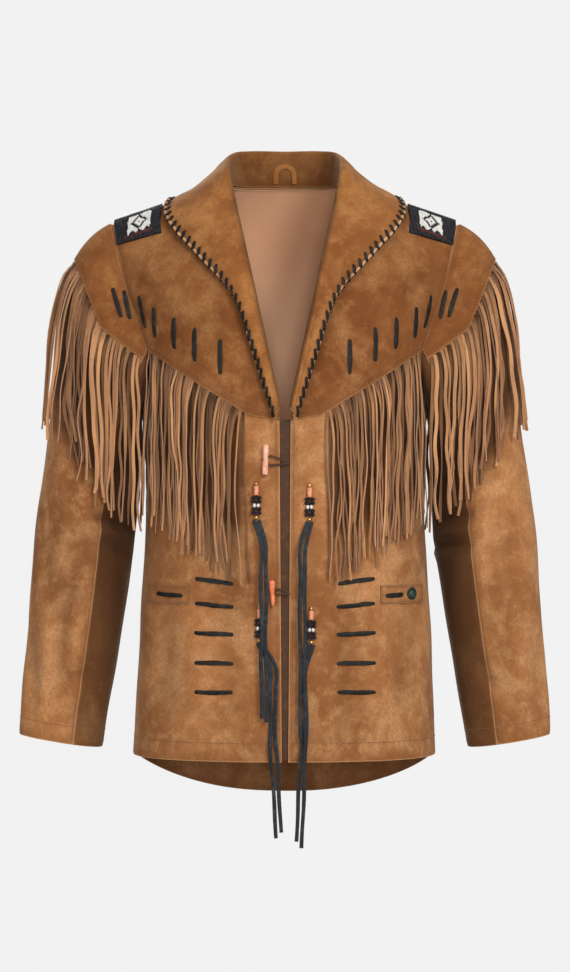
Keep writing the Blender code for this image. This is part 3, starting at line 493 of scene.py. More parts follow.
# Creases: soft troughs (positive depth) and ridges

Crease = namedtuple("Crease", "u0 z0 u1 z1 depth width")
BODY_CREASES = (
    Crease(0.168, -0.235, 0.112, -0.330, 0.0030, 0.010),
    Crease(0.176, -0.290, 0.120, -0.395, 0.0036, 0.012),
    Crease(0.172, -0.340, 0.090, -0.470, 0.0024, 0.014),
    Crease(0.186, -0.110, 0.140, -0.150, 0.0018, 0.010),
    Crease(0.150, -0.480, 0.146, -0.700, 0.0020, 0.016),
    Crease(0.085, -0.420, 0.070, -0.690, 0.0016, 0.020),
    Crease(0.110, -0.560, 0.118, -0.720, -0.0020, 0.018),
    Crease(0.100, -0.060, 0.170, -0.105, 0.0014, 0.011),
    Crease(-0.166, -0.240, -0.118, -0.318, 0.0026, 0.010),
    Crease(-0.178, -0.285, -0.114, -0.380, 0.0038, 0.012),
    Crease(-0.170, -0.360, -0.100, -0.455, 0.0022, 0.013),
    Crease(-0.190, -0.120, -0.150, -0.142, 0.0020, 0.009),
    Crease(-0.146, -0.500, -0.150, -0.690, 0.0024, 0.015),
    Crease(-0.076, -0.450, -0.062, -0.700, 0.0018, 0.019),
    Crease(-0.104, -0.590, -0.108, -0.720, -0.0018, 0.020),
    Crease(-0.108, -0.066, -0.176, -0.100, 0.0016, 0.012),
)
BACK_CREASES = (
    Crease(0.160, -0.230, 0.070, -0.340, 0.0034, 0.013),
    Crease(0.172, -0.300, 0.080, -0.420, 0.0040, 0.014),
    Crease(0.120, -0.420, 0.128, -0.720, 0.0036, 0.020),
    Crease(0.050, -0.350, 0.058, -0.760, 0.0030, 0.022),
    Crease(-0.158, -0.240, -0.080, -0.330, 0.0030, 0.012),
    Crease(-0.170, -0.315, -0.066, -0.440, 0.0042, 0.015),
    Crease(-0.126, -0.440, -0.116, -0.725, 0.0040, 0.019),
    Crease(-0.030, -0.380, -0.040, -0.770, 0.0028, 0.024),
    Crease(0.004, -0.120, 0.006, -0.290, -0.0016, 0.020),
)
ARM_SCALE = 0.058
SLEEVE_CREASES = (
    Crease(0.35, -0.428, 1.60, -0.412, 0.0042, 0.008),
    Crease(0.10, -0.462, 1.35, -0.452, 0.0036, 0.008),
    Crease(5.30, -0.470, 6.10, -0.440, 0.0046, 0.009),
    Crease(5.10, -0.420, 6.00, -0.405, 0.0038, 0.008),
    Crease(1.55, -0.450, 1.70, -0.680, 0.0024, 0.013),
    Crease(2.10, -0.400, 1.95, -0.600, 0.0018, 0.016),
    Crease(0.60, -0.345, 1.30, -0.365, 0.0034, 0.009),
    Crease(5.40, -0.350, 5.90, -0.372, 0.0036, 0.010),
    Crease(4.00, -0.380, 3.60, -0.560, 0.0022, 0.017),
    Crease(2.70, -0.560, 2.30, -0.690, 0.0018, 0.015),
    Crease(0.90, -0.600, 1.60, -0.640, 0.0020, 0.011),
    Crease(-0.30, -0.436, -1.50, -0.420, 0.0046, 0.008),
    Crease(-0.20, -0.472, -1.25, -0.456, 0.0032, 0.009),
    Crease(-5.20, -0.462, -6.00, -0.446, 0.0042, 0.009),
    Crease(-5.00, -0.412, -5.90, -0.398, 0.0040, 0.008),
    Crease(-1.62, -0.420, -1.80, -0.690, 0.0030, 0.012),
    Crease(-2.20, -0.410, -2.05, -0.580, 0.0020, 0.015),
    Crease(-0.50, -0.350, -1.25, -0.368, 0.0030, 0.009),
    Crease(-5.50, -0.344, -5.95, -0.366, 0.0034, 0.010),
    Crease(-4.10, -0.400, -3.70, -0.570, 0.0024, 0.016),
    Crease(-2.60, -0.550, -2.25, -0.680, 0.0020, 0.014),
    Crease(-1.00, -0.610, -1.65, -0.632, 0.0018, 0.011),
)


PUCKER_REACH = 0.004
PUCKER_DEPTH = 0.0016
PUCKER_WIDTH = 0.0055


def puckers(side):
    """A dent under each thong bar of one front, where it pulls the cloth in."""
    made = []
    for lace in YOKE_LACES[:5]:
        made.append(Crease(side * lace.x, lace.top + PUCKER_REACH, side * (lace.x - lace.lean),
                           lace.bottom - PUCKER_REACH, PUCKER_DEPTH, PUCKER_WIDTH))
    for lace in FRONT_LACES:
        made.append(Crease(side * (lace.inner_x - PUCKER_REACH), lace.inner_z,
                           side * (lace.outer_x + PUCKER_REACH), lace.outer_z, PUCKER_DEPTH, PUCKER_WIDTH))
    return tuple(made)


def crease_depth(place, creases, scale):
    """How far each point moves along its normal, with a low swell beside each trough."""
    spot = place * np.array([scale, 1.0])
    moved = np.zeros(place.shape[:2])
    for crease in creases:
        start = np.array([crease.u0 * scale, crease.z0])
        way = np.array([crease.u1 * scale, crease.z1]) - start
        length = np.linalg.norm(way)
        way = way / length
        off = spot - start
        t = (off @ way) / length
        side = off[..., 0] * way[1] - off[..., 1] * way[0]
        side = side + 0.25 * crease.width * np.sin(6.0 * t + 40.0 * crease.z0)
        taper = np.exp(-((np.clip(t, 0, 1) - t) * length / crease.width) ** 2)
        taper = taper * np.clip(np.sin(math.pi * np.clip(t, 0.02, 0.98)), 0, 1) ** 0.7
        trough = np.exp(-(side / crease.width) ** 2)
        swell = 0.35 * np.exp(-((np.abs(side) - 1.9 * crease.width) / crease.width) ** 2)
        moved += crease.depth * taper * (swell - trough)
    return moved


def rolling(place, scale, size=0.0012):
    """A slow unevenness that keeps large areas from lying dead flat."""
    u, v = place[..., 0] * scale, place[..., 1]
    return size * (np.sin(31 * u + 9 * v + 1.3) * np.sin(17 * v - 8 * u)
                   + 0.5 * np.sin(63 * u - 20 * v) * np.sin(41 * v + 2.0))


def edge_distance(grid):
    """The distance of each point from the piece's nearest edge."""
    across = np.linalg.norm(np.diff(grid.points, axis=1), axis=2)
    down = np.linalg.norm(np.diff(grid.points, axis=0), axis=2)
    left = np.concatenate([np.zeros((len(across), 1)), np.cumsum(across, 1)], 1)
    top = np.concatenate([np.zeros((1, down.shape[1])), np.cumsum(down, 0)], 0)
    return np.minimum(np.minimum(left, left[:, -1:] - left), np.minimum(top, top[-1:] - top))


EDGE_ROLL = 0.0007
EDGE_ROLL_REACH = 0.0035


def edge_roll(grid):
    """How far the cloth sinks beside the piece's edges."""
    return -EDGE_ROLL * np.clip(1 - edge_distance(grid) / EDGE_ROLL_REACH, 0, 1) ** 2


FRINGE_SHADE = 0.92
HOLLOW_SHADE = 0.34
HOLLOW_DEPTH = 0.0034
COLLAR_SHADE = 0.50
COLLAR_SHADE_START = 0.006
COLLAR_SHADE_REACH = 0.011
FRINGE_INNER_X = 0.048


def inward(grid, least, more):
    """Darkness of cloth that faces the body, in its shadow."""
    side = np.sign(grid.points[..., 0].mean())
    return least * np.ones(grid.points.shape[:2]) + more * np.clip(-side * grid.normals[..., 0], 0.0, 1.0)


def under_fringe(grid, row):
    """Painted shade on cloth behind a fringe that hangs from this row, fading out below it."""
    drop = grid.points[row, :, 2][None, :] - grid.points[..., 2]
    rows = np.clip((drop - 0.002) / 0.008, 0.0, 1.0)
    fade = np.clip((FRINGE_LENGTH - 0.020 - drop) / 0.045, 0.0, 1.0)
    return FRINGE_SHADE * rows * fade


def hollows(grid, creases, scale=1.0):
    """Painted shade in the troughs of the creases."""
    return HOLLOW_SHADE * np.clip(-crease_depth(grid.place, creases, scale) / HOLLOW_DEPTH, 0.0, 1.0)


def downward(grid, top, bottom):
    """A factor that runs from the upper arm to the cuff."""
    return np.interp(grid.points[..., 2], (CUFF_Z, -0.45), (bottom, top))


def beneath(grid, edge):
    """Painted shadow on the cloth beside an edge that stands off it."""
    away = np.linalg.norm(grid.points[:, :, None, :] - edge[None, None], axis=3).min(2)
    return COLLAR_SHADE * np.clip(1.0 - (away - COLLAR_SHADE_START) / COLLAR_SHADE_REACH, 0.0, 1.0)


def beside_gap(grid):
    """1 behind the front fringe, falling to 0 beside the front opening."""
    return np.clip((np.abs(grid.points[..., 0]) - FRINGE_INNER_X) / 0.010, 0.0, 1.0)


# Meshes


def placed(name, data):
    """A new object in the scene for this mesh, camera or light."""
    made = bpy.data.objects.new(name, data)
    bpy.context.scene.collection.objects.link(made)
    return made


def add_object(name, points, faces, materials, indices=None, attributes=None, smooth_angle=40.0):
    """A smooth mesh that rides on the jacket, its faces turned out."""
    mesh = bpy.data.meshes.new(name)
    mesh.from_pydata(np.asarray(points, float).tolist(), [], [list(map(int, face)) for face in faces])
    made = placed(name, mesh)
    for material in materials if isinstance(materials, (list, tuple)) else [materials]:
        mesh.materials.append(material)
    if indices is not None:
        mesh.polygons.foreach_set("material_index", np.asarray(indices, np.int32))
    for attribute, values in (attributes or {}).items():
        layer = mesh.attributes.new(attribute, "FLOAT", "POINT")
        layer.data.foreach_set("value", np.asarray(values, np.float32).reshape(-1))
    turn_out(mesh)
    mesh.shade_smooth()
    mesh.set_sharp_from_angle(angle=math.radians(smooth_angle))
    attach(made, "root")
    return made


def turn_out(mesh):
    work = bmesh.new()
    work.from_mesh(mesh)
    bmesh.ops.recalc_face_normals(work, faces=work.faces)
    work.to_mesh(mesh)
    work.free()


def quads(rows, columns, closed=False):
    """The cells of a grid of points, its last column joined to its first if closed."""
    index = np.arange(rows * columns).reshape(rows, columns)
    after = np.roll(index, -1, axis=1) if closed else index[:, 1:]
    here = index if closed else index[:, :-1]
    cells = (here[:-1], after[:-1], after[1:], here[1:])
    return np.stack([cell.reshape(-1) for cell in cells], -1)


def wall(grid, outer, thickness):
    """Points and faces of a closed wall, its outer skin this far out from the grid."""
    rows, columns = grid.points.shape[:2]
    skins = [grid.points + grid.normals * out for out in (outer, outer - thickness)]
    points = np.concatenate([skin.reshape(-1, 3) for skin in skins])
    top = quads(rows, columns)
    index = np.arange(rows * columns).reshape(rows, columns)
    rim = np.concatenate([index[0], index[1:, -1], index[-1, -2::-1], index[-2:0:-1, 0]])
    after = np.roll(rim, -1)
    under = rows * columns
    sides = np.stack([rim, rim + under, after + under, after], -1)
    return points, np.concatenate([top, top[:, ::-1] + under, sides])


def flat_cut(grid, wide=0):
    """The width (of the rows from this one down), length and area that the piece was cut to."""
    p = grid.points
    width = np.linalg.norm(np.diff(p, axis=1), axis=2).sum(1)[wide:].max()
    length = np.linalg.norm(np.diff(p, axis=0), axis=2).sum(0).max()
    first, second = p[1:, 1:] - p[:-1, :-1], p[:-1, 1:] - p[1:, :-1]
    area = np.linalg.norm(np.cross(first, second), axis=2).sum() / 2
    return (width, length), min(area, width * length)


def add_shell(name, grid, outer, thickness, material, wide=0,
              shade=None, inner=0.0):
    """A piece of cloth as a thin wall, standing for the solid of the same name."""
    points, faces = wall(grid, outer, thickness)
    near = edge_distance(grid).reshape(-1)
    # shade is painted shade on both skins; inner adds painted shade on the inner skin alone.
    dim = np.zeros(len(near)) if shade is None else np.clip(shade, 0.0, 1.0).reshape(-1)
    made = add_object("cloth_" + name, points, faces, material,
                      attributes={"edge": np.tile(near, 2),
                                  "shade": np.concatenate([dim, np.maximum(dim, inner)])})
    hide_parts(name)
    flat, area = flat_cut(grid, wide)
    return made


def skin_of(grids):
    """The outer faces of some grids, turned out, to rest things on."""
    points, faces = [], []
    for grid in grids:
        base = len(points)
        flat, normals = grid.points.reshape(-1, 3), grid.normals.reshape(-1, 3)
        cells = quads(*grid.points.shape[:2])
        a, b, d = flat[cells[:, 0]], flat[cells[:, 1]], flat[cells[:, 3]]
        facing = np.einsum("ij,ij->i", np.cross(b - a, d - a), normals[cells[:, 0]])
        order = cells if facing.sum() > 0 else cells[:, ::-1]
        points += flat.tolist()
        faces += (base + order).tolist()
    return BVHTree.FromPolygons(points, faces)


def cleared(point, skin, clear):
    """The point, pushed out along the nearest face where it is closer than this."""
    for _ in range(2):
        place, normal, _, distance = skin.find_nearest(Vector(point))
        if distance >= clear and (Vector(point) - place).dot(normal) > 0:
            break
        point = np.array(place + normal * clear)
    return np.asarray(point)


def on_skin(skin, x, z):
    """The place straight in from the front at x and z, and the way out there."""
    place, normal, _, _ = skin.ray_cast(Vector((x, -1.0, z)), Vector((0.0, 1.0, 0.0)))
    return np.array(place), np.array(normal)


def tube(path, across, outward, widths, heights, sides=8, power=1.0):
    """Rings of a flattened tube: half widths along across, half heights along outward."""
    turn = np.linspace(0, 2 * math.pi, sides, endpoint=False) + math.pi / sides
    c, s = signed_power(np.cos(turn), power), signed_power(np.sin(turn), power)
    path, across, outward = (np.asarray(a, float)[:, None, :] for a in (path, across, outward))
    widths = np.broadcast_to(widths, len(path))[:, None, None]
    heights = np.broadcast_to(heights, len(path))[:, None, None]
    return path + across * widths * c[None, :, None] + outward * heights * s[None, :, None]


def tube_faces(rings, sides, base=0):
    """The sides and two end caps of a tube of rings."""
    faces = quads(rings, sides, closed=True) + base
    last = base + (rings - 1) * sides
    caps = [list(range(base, base + sides))[::-1], list(range(last, last + sides))]
    return faces.tolist() + caps


def joined_tubes(tubes):
    """Points and faces of many tubes in one mesh."""
    points, faces, base = [], [], 0
    for rings in tubes:
        count, sides = rings.shape[:2]
        points.append(rings.reshape(-1, 3))
        faces += tube_faces(count, sides, base)
        base += count * sides
    return np.concatenate(points), faces


def add_tubes(name, tubes, materials, slot, solid=None, indices=None, attributes=None, smooth_angle=60.0):
    """Many tubes as one piece, which stands for the solid where one is named."""
    points, faces = joined_tubes(tubes)
    made = add_object(name, points, faces, materials, indices, attributes, smooth_angle)
    if solid:
        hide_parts(solid)
    return made


def frame_along(path, outward):
    """Unit across and outward vectors of a line near a surface."""
    tangent = unit(np.gradient(np.asarray(path, float), axis=0))
    across = unit(np.cross(tangent, outward))
    return across, unit(np.cross(across, tangent))


def twisted(across, outward, twist):
    """A line's across and outward vectors, turned about the line."""
    c, s = np.cos(twist)[:, None], np.sin(twist)[:, None]
    return c * across + s * outward, c * outward - s * across


# Materials


class Nodes:
    """A short way to write a material's node tree."""

    def __init__(self, name):
        self.material = bpy.data.materials.new(name)
        self.material.use_nodes = True
        self.tree = self.material.node_tree
        self.shader = self.tree.nodes["Principled BSDF"]
        self.place = self.add("ShaderNodeTexCoord").outputs["Object"]

    def add(self, kind, inputs=None, **settings):
        node = self.tree.nodes.new(kind)
        for key, value in settings.items():
            setattr(node, key, value)
        for key, value in (inputs or {}).items():
            self.put(node.inputs[key], value)
        return node

    def put(self, socket, value):
        if isinstance(value, bpy.types.NodeSocket):
            self.tree.links.new(value, socket)
        elif isinstance(value, tuple) and len(value) == 3 and socket.type == "RGBA":
            socket.default_value = (*value, 1.0)
        else:
            socket.default_value = value

    def stretched(self, scale):
        return self.add("ShaderNodeMapping", {"Vector": self.place, "Scale": scale}).outputs["Vector"]

    def noise(self, scale, detail=4.0, roughness=0.6, distortion=0.0, vector=None):
        node = self.add("ShaderNodeTexNoise", {
            "Vector": vector or self.place, "Scale": scale, "Detail": detail,
            "Roughness": roughness, "Distortion": distortion})
        return node.outputs["Fac"]

    def ranged(self, value, low, high, to_low=0.0, to_high=1.0):
        node = self.add("ShaderNodeMapRange", {
            "Value": value, "From Min": low, "From Max": high, "To Min": to_low, "To Max": to_high})
        node.interpolation_type = "SMOOTHSTEP"
        return node.outputs["Result"]

    def mix(self, share, first, second, blend="MIX"):
        node = self.add("ShaderNodeMix", {}, data_type="RGBA", blend_type=blend)
        self.put(node.inputs[0], share)
        self.put(node.inputs[6], first)
        self.put(node.inputs[7], second)
        return node.outputs[2]

    def math(self, operation, first, second=0.0):
        node = self.add("ShaderNodeMath", operation=operation)
        self.put(node.inputs[0], first)
        self.put(node.inputs[1], second)
        return node.outputs[0]

    def attribute(self, name):
        return self.add("ShaderNodeAttribute", attribute_name=name).outputs["Fac"]

    def bump(self, height, distance, strength=1.0, over=None):
        inputs = {"Height": height, "Distance": distance, "Strength": strength}
        if over is not None:
            inputs["Normal"] = over
        return self.add("ShaderNodeBump", inputs).outputs["Normal"]

    def finish(self, **inputs):
        for key, value in inputs.items():
            self.put(self.shader.inputs[key.replace("_", " ").title().replace("Ior", "IOR")], value)
        return self.material


def suede(name, dark, middle, light, edge_light=0.55, cloud=1.0):
    """Napped suede: soft clouds, rubbed patches, fine fibre, darker within about 16 mm of each edge, and
    painted shade in creases and under fringe.
    """
    n = Nodes(name)
    clouds = n.noise(5.0 * cloud, 4.0, 0.60, 0.3)
    patches = n.noise(19.0 * cloud, 5.0, 0.62, 0.35, n.stretched((1.0, 1.0, 0.8)))
    blotch = n.noise(60.0, 5.0, 0.68, 0.3)
    grain = n.noise(330.0, 4.0, 0.75)
    fibre = n.noise(1100.0, 3.0, 0.7)
    tone = n.mix(n.ranged(clouds, 0.36, 0.64), dark, middle)
    tone = n.mix(n.ranged(patches, 0.44, 0.66, 0.0, 0.52), tone, light)
    tone = n.mix(n.ranged(patches, 0.47, 0.30, 0.0, 0.60), tone, dark)
    tone = n.mix(n.ranged(blotch, 0.48, 0.70, 0.0, 0.36), tone, light)
    tone = n.mix(n.ranged(blotch, 0.46, 0.28, 0.0, 0.42), tone, dark)
    tone = n.mix(n.ranged(grain, 0.36, 0.66, 0.46, 0.0), tone, dark)
    tone = n.mix(n.ranged(fibre, 0.56, 0.80, 0.0, 0.42), tone, light)
    edge = n.attribute("edge")
    # Darker within about 16 mm of each edge, along a ragged line.
    ragged_edge_distance = n.math("ADD", edge, n.ranged(patches, 0.2, 0.8, -0.004, 0.004))
    tone = n.mix(n.ranged(ragged_edge_distance, 0.016, 0.001, 0.0, 0.50), tone, dark)
    tone = n.mix(n.ranged(edge, 0.0018, 0.0, 0.0, edge_light), tone, light)
    # Painted shade: the shade attribute draws the tone towards a much darker brown.
    deep = tuple(0.22 * value for value in dark)
    tone = n.mix(n.attribute("shade"), tone, deep)
    height = n.bump(fibre, 0.00035, 0.7)
    height = n.bump(grain, 0.0008, 0.55, height)
    height = n.bump(blotch, 0.0022, 0.35, height)
    rough = n.ranged(blotch, 0.3, 0.7, 0.84, 0.98)
    return n.finish(base_color=tone, roughness=rough, normal=height, sheen_weight=0.16,
                    sheen_roughness=0.45, sheen_tint=(0.95, 0.70, 0.48), specular_ior_level=0.12)


def fringe_suede():
    """Suede cut in strands: each its own tone, pinker raw sides with a painted highlight, and painted shade
    where others cover it.
    """
    n = Nodes("fringe_suede")
    strand = n.attribute("strand")
    flat = n.noise(45.0, 5.0, 0.65, 0.5, n.stretched((1.0, 1.0, 0.25)))
    fibre = n.noise(800.0, 3.0, 0.7)
    tone = n.mix(n.ranged(strand, 0.0, 1.0), (0.180, 0.065, 0.021), (0.690, 0.345, 0.145))
    tone = n.mix(n.ranged(flat, 0.42, 0.68, 0.0, 0.6), tone, (0.64, 0.305, 0.118))
    tone = n.mix(n.ranged(flat, 0.46, 0.28, 0.0, 0.6), tone, (0.135, 0.050, 0.018))
    # Pinker raw sides, lighter too as a painted highlight on the strands' edges.
    tone = n.mix(n.ranged(n.attribute("side"), 0.3, 1.0, 0.0, 0.55), tone, (0.560, 0.330, 0.240))
    tone = n.mix(n.ranged(fibre, 0.3, 0.75, 0.35, 0.0), tone, (0.10, 0.040, 0.016))
    # Painted shade where other strands cover this one.
    tone = n.mix(n.attribute("shade"), tone, (0.030, 0.012, 0.006))
    height = n.bump(fibre, 0.0004, 0.7)
    height = n.bump(flat, 0.0012, 0.5, height)
    return n.finish(base_color=tone, roughness=0.9, normal=height, sheen_weight=0.14,
                    sheen_roughness=0.5, sheen_tint=(0.95, 0.75, 0.60), specular_ior_level=0.12)


def thong_leather(name, dark, light, roughness=0.55):
    """Dyed thong: near black, with dull grey streaks along it painted as highlights."""
    n = Nodes(name)
    painted_highlight_streak = n.noise(90.0, 4.0, 0.6, 0.8)
    grain = n.noise(700.0, 3.0, 0.6)
    tone = n.mix(n.ranged(painted_highlight_streak, 0.45, 0.75, 0.0, 0.8), dark, light)
    height = n.bump(grain, 0.0003, 0.5)
    height = n.bump(painted_highlight_streak, 0.0008, 0.35, height)
    rough = n.ranged(painted_highlight_streak, 0.3, 0.7, roughness, roughness + 0.25)
    return n.finish(base_color=tone, roughness=rough, normal=height, specular_ior_level=0.22)


def lining_cloth():
    """A plain mauve-brown weave with faint drawn threads, lighter towards the bottom of the V as painted
    light.
    """
    n = Nodes("lining_cloth")
    warp = n.add("ShaderNodeTexWave", {"Vector": n.place, "Scale": 340.0, "Distortion": 0.6, "Detail": 2.0},
                 bands_direction="X").outputs["Fac"]
    weft = n.add("ShaderNodeTexWave", {"Vector": n.place, "Scale": 340.0, "Distortion": 0.6, "Detail": 2.0},
                 bands_direction="Z").outputs["Fac"]
    weave = n.math("MULTIPLY", warp, weft)
    cloud = n.noise(9.0, 4.0, 0.6, 0.4)
    slub = n.noise(140.0, 3.0, 0.6, 0.0, n.stretched((0.2, 1.0, 2.5)))
    tone = n.mix(n.ranged(cloud, 0.35, 0.65), (0.640, 0.335, 0.185), (0.700, 0.375, 0.210))
    tone = n.mix(n.ranged(slub, 0.45, 0.75, 0.0, 0.30), tone, (0.62, 0.320, 0.180))
    tone = n.mix(n.ranged(weave, 0.0, 0.8, 0.22, 0.0), tone, (0.52, 0.26, 0.15))
    # Painted light: lighter lower down, deep in the V where less light reaches.
    height = n.add("ShaderNodeSeparateXYZ", {"Vector": n.place}).outputs["Z"]
    tone = n.mix(n.ranged(height, -0.05, -0.22, 0.0, 0.90), tone, (0.93, 0.56, 0.34))
    return n.finish(base_color=tone, roughness=0.75, normal=n.bump(weave, 0.0002, 0.4),
                    sheen_weight=0.15, specular_ior_level=0.25)


def polished(name, dark, light, roughness, metallic=0.0, scale=240.0):
    """Bead, horn or metal: clouded colour under a fine wear."""
    n = Nodes(name)
    cloud = n.noise(scale, 4.0, 0.6, 0.8)
    wear = n.noise(scale * 4, 3.0, 0.6)
    tone = n.mix(n.ranged(cloud, 0.35, 0.70), dark, light)
    rough = n.ranged(wear, 0.3, 0.7, roughness, roughness + 0.18)
    return n.finish(base_color=tone, roughness=rough, metallic=metallic, normal=n.bump(wear, 0.0001, 0.3),
                    specular_ior_level=0.3)


def thread(name, colour, light):
    n = Nodes(name)
    ply = n.noise(1500.0, 2.0, 0.5)
    tone = n.mix(n.ranged(ply, 0.35, 0.65), colour, light)
    return n.finish(base_color=tone, roughness=0.65, normal=n.bump(ply, 0.0001, 0.5))


def plain_backdrop():
    n = Nodes("pale_backdrop")
    speck = n.noise(0.4, 2.0, 0.5)
    tone = n.mix(n.ranged(speck, 0.3, 0.7), (0.882, 0.882, 0.882), (0.890, 0.890, 0.890))
    return n.finish(base_color=(0.0, 0.0, 0.0), roughness=1.0, specular_ior_level=0.0,
                    emission_color=tone, emission_strength=1.0)


# Stage: camera, backdrop and lights

SHELL_RADIUS = 16.0
FLOOR_Z = -3.4


def add_camera():
    data = bpy.data.cameras.new("camera")
    made = placed("camera", data)
    made.location = (0.0, -CAMERA_DISTANCE, CAMERA_Z)
    made.rotation_euler = (math.pi / 2, 0.0, 0.0)
    data.sensor_fit = "VERTICAL"
    data.angle_y = 2 * math.atan(FRAME_HEIGHT / 2 / CAMERA_DISTANCE)
    data.clip_end = 60.0
    bpy.context.scene.camera = made


def add_backdrop(material):
    """A large pale shell with a flat floor, that only the camera sees."""
    mesh = bpy.data.meshes.new("backdrop")
    work = bmesh.new()
    bmesh.ops.create_icosphere(work, subdivisions=4, radius=SHELL_RADIUS)
    for vertex in work.verts:
        vertex.co.z = max(vertex.co.z, FLOOR_Z)
    bmesh.ops.reverse_faces(work, faces=work.faces)
    work.to_mesh(mesh)
    work.free()
    mesh.materials.append(material)
    made = placed("backdrop", mesh)
    made.visible_diffuse = made.visible_glossy = made.visible_shadow = False


WORLD_STRENGTH = 0.42
AreaLight = namedtuple("AreaLight", "name place target power size")
LIGHTS = (
    AreaLight("key", (1.5, -3.0, 1.1), (0.0, 0.0, -0.40), 82.0, 1.1),
    AreaLight("fill", (-2.0, -2.9, 0.0), (0.0, 0.0, -0.40), 15.0, 1.8),
    AreaLight("front", (0.06, -3.4, -0.34), (0.0, 0.0, -0.40), 33.0, 0.5),
    AreaLight("top", (0.1, 0.3, 2.3), (0.0, 0.0, -0.20), 10.0, 1.4),
    AreaLight("back", (-1.2, 3.0, 1.0), (0.0, 0.0, -0.40), 80.0, 1.4),
)


def add_lights():
    for light in LIGHTS:
        data = bpy.data.lights.new(light.name, "AREA")
        data.energy, data.size = light.power, light.size
        made = placed(light.name, data)
        made.location = light.place
        made.visible_camera = False
        way = Vector(light.target) - Vector(light.place)
        made.rotation_euler = way.to_track_quat("-Z", "Y").to_euler()
    world = bpy.data.worlds.new("studio")
    world.use_nodes = True
    background = world.node_tree.nodes["Background"]
    background.inputs["Color"].default_value = (1.0, 0.99, 0.97, 1.0)
    background.inputs["Strength"].default_value = WORLD_STRENGTH
    bpy.context.scene.world = world
    bpy.context.scene.view_settings.view_transform = "Standard"


# Fringe

FRINGE_LENGTH = 0.208
FRINGE_BACKING = 0.0050
STRAND_HALF_THICK = 0.00078
STRAND_SIDES = 6
STRAND_RINGS = 22
FLARED_DRIFT = 0.35
OUTER_FLARE_X = 0.148
INNER_FLARE_X = 0.192
Comb = namedtuple("Comb", "name count sway seed outer_flare inner_flare")
FRONT_COMB = Comb("fringe_front", 47, 0.0050, 11, 0.0105, 0.0)
SLEEVE_COMB = Comb("fringe_sleeve", 66, 0.0045, 23, 0.0, -0.0055)
BACK_COMB = Comb("fringe_back", 92, 0.0052, 37, 0.0060, 0.0)


def fringe_places(grid, row, count, start, stop):
    """Even places along a grid row: the root's upper and lower point, and the way out."""
    fine = np.linspace(start, stop, 500)
    line, _ = grid.at(np.full(500, float(row)), fine)
    run = run_of(line)
    across = np.interp((np.arange(count) + 0.5) / count * run[-1], run, fine)
    pitch = run[-1] / count
    here, normal = grid.at(np.full(count, row + 0.15), across)
    step = np.linalg.norm(grid.at(np.full(count, row + 1.0), across)[0] - here, axis=1) / 0.85
    lower, _ = grid.at(row + FRINGE_BACKING / step, across)
    side = unit(grid.at(np.full(count, float(row)), across + 0.2)[0]
                - grid.at(np.full(count, float(row)), across - 0.2)[0])
    return here, lower, normal, side, pitch


def strand_path(root, lower, normal, side, comb, skin, random, flare):
    """A strand's line, each point's share of its length, its phase and the layer it hangs in."""
    share = np.linspace(0.0, 1.0, STRAND_RINGS) ** 1.1
    length = FRINGE_LENGTH * random.uniform(0.925, 1.04)
    drop = length * share
    leave = (lower - root) * np.array([1.0, 1.0, 0.0])
    drift = random.normal(0.0, comb.sway) * (FLARED_DRIFT if flare else 1.0)
    wave = random.uniform(0.0010, 0.0042)
    phase, speed = random.uniform(0, 6.28), random.uniform(1.0, 3.2)
    swing = drift * share ** 1.4 + wave * np.sin(phase + speed * 6.28 * share) * share ** 0.6
    swing -= swing[0]
    flat_side = unit(side * np.array([1.0, 1.0, 0.0]))
    path = lower - np.array([0.0, 0.0, 1.0]) * drop[:, None] + flat_side * swing[:, None]
    path += 2.2 * leave * (1 - np.exp(-drop / 0.018))[:, None]
    path[:, 0] += flare * np.minimum(drop / 0.10, 1.0)
    layer = random.choice((0.0, 1.0, 2.0, 3.0))
    lift = 0.0016 + 0.0021 * layer * np.minimum(drop / 0.02, 1.0) + 0.0026 * np.sin(2.4 * share + phase) ** 2
    lift[0] = 0.0012
    path = np.array([cleared(p, skin, c) for p, c in zip(path, lift)])
    path = np.concatenate([[root + normal * 0.0010], softened(path, 3)])
    return path, np.concatenate([[0.0], share]), phase, layer


def strand(root, lower, normal, side, width, comb, skin, random, flare):
    """One strand: held flat under the yoke's edge, then hanging with its own sway and twist."""
    path, share, phase, layer = strand_path(root, lower, normal, side, comb, skin, random, flare)
    across, outward = frame_along(path, np.broadcast_to(normal, path.shape))
    twist = random.normal(0.0, 1.1) * share ** 0.7 + random.normal(0.0, 0.5) * np.sin(9 * share + phase)
    twist[:3] *= 0.3
    across, outward = twisted(across, outward, twist)
    widths = 0.5 * width * (1 - 0.10 * share + 0.07 * np.sin(11 * share + phase))
    rings = tube(path, across, outward, widths, STRAND_HALF_THICK, STRAND_SIDES, 0.6)
    # Painted shade: darker in the lower layers, and near the root under the yoke's edge.
    painted_cover_shade = 0.66 * (1 - layer / 3.0) ** 1.2 + 0.30 * np.exp(-share / 0.06)
    return rings, painted_cover_shade


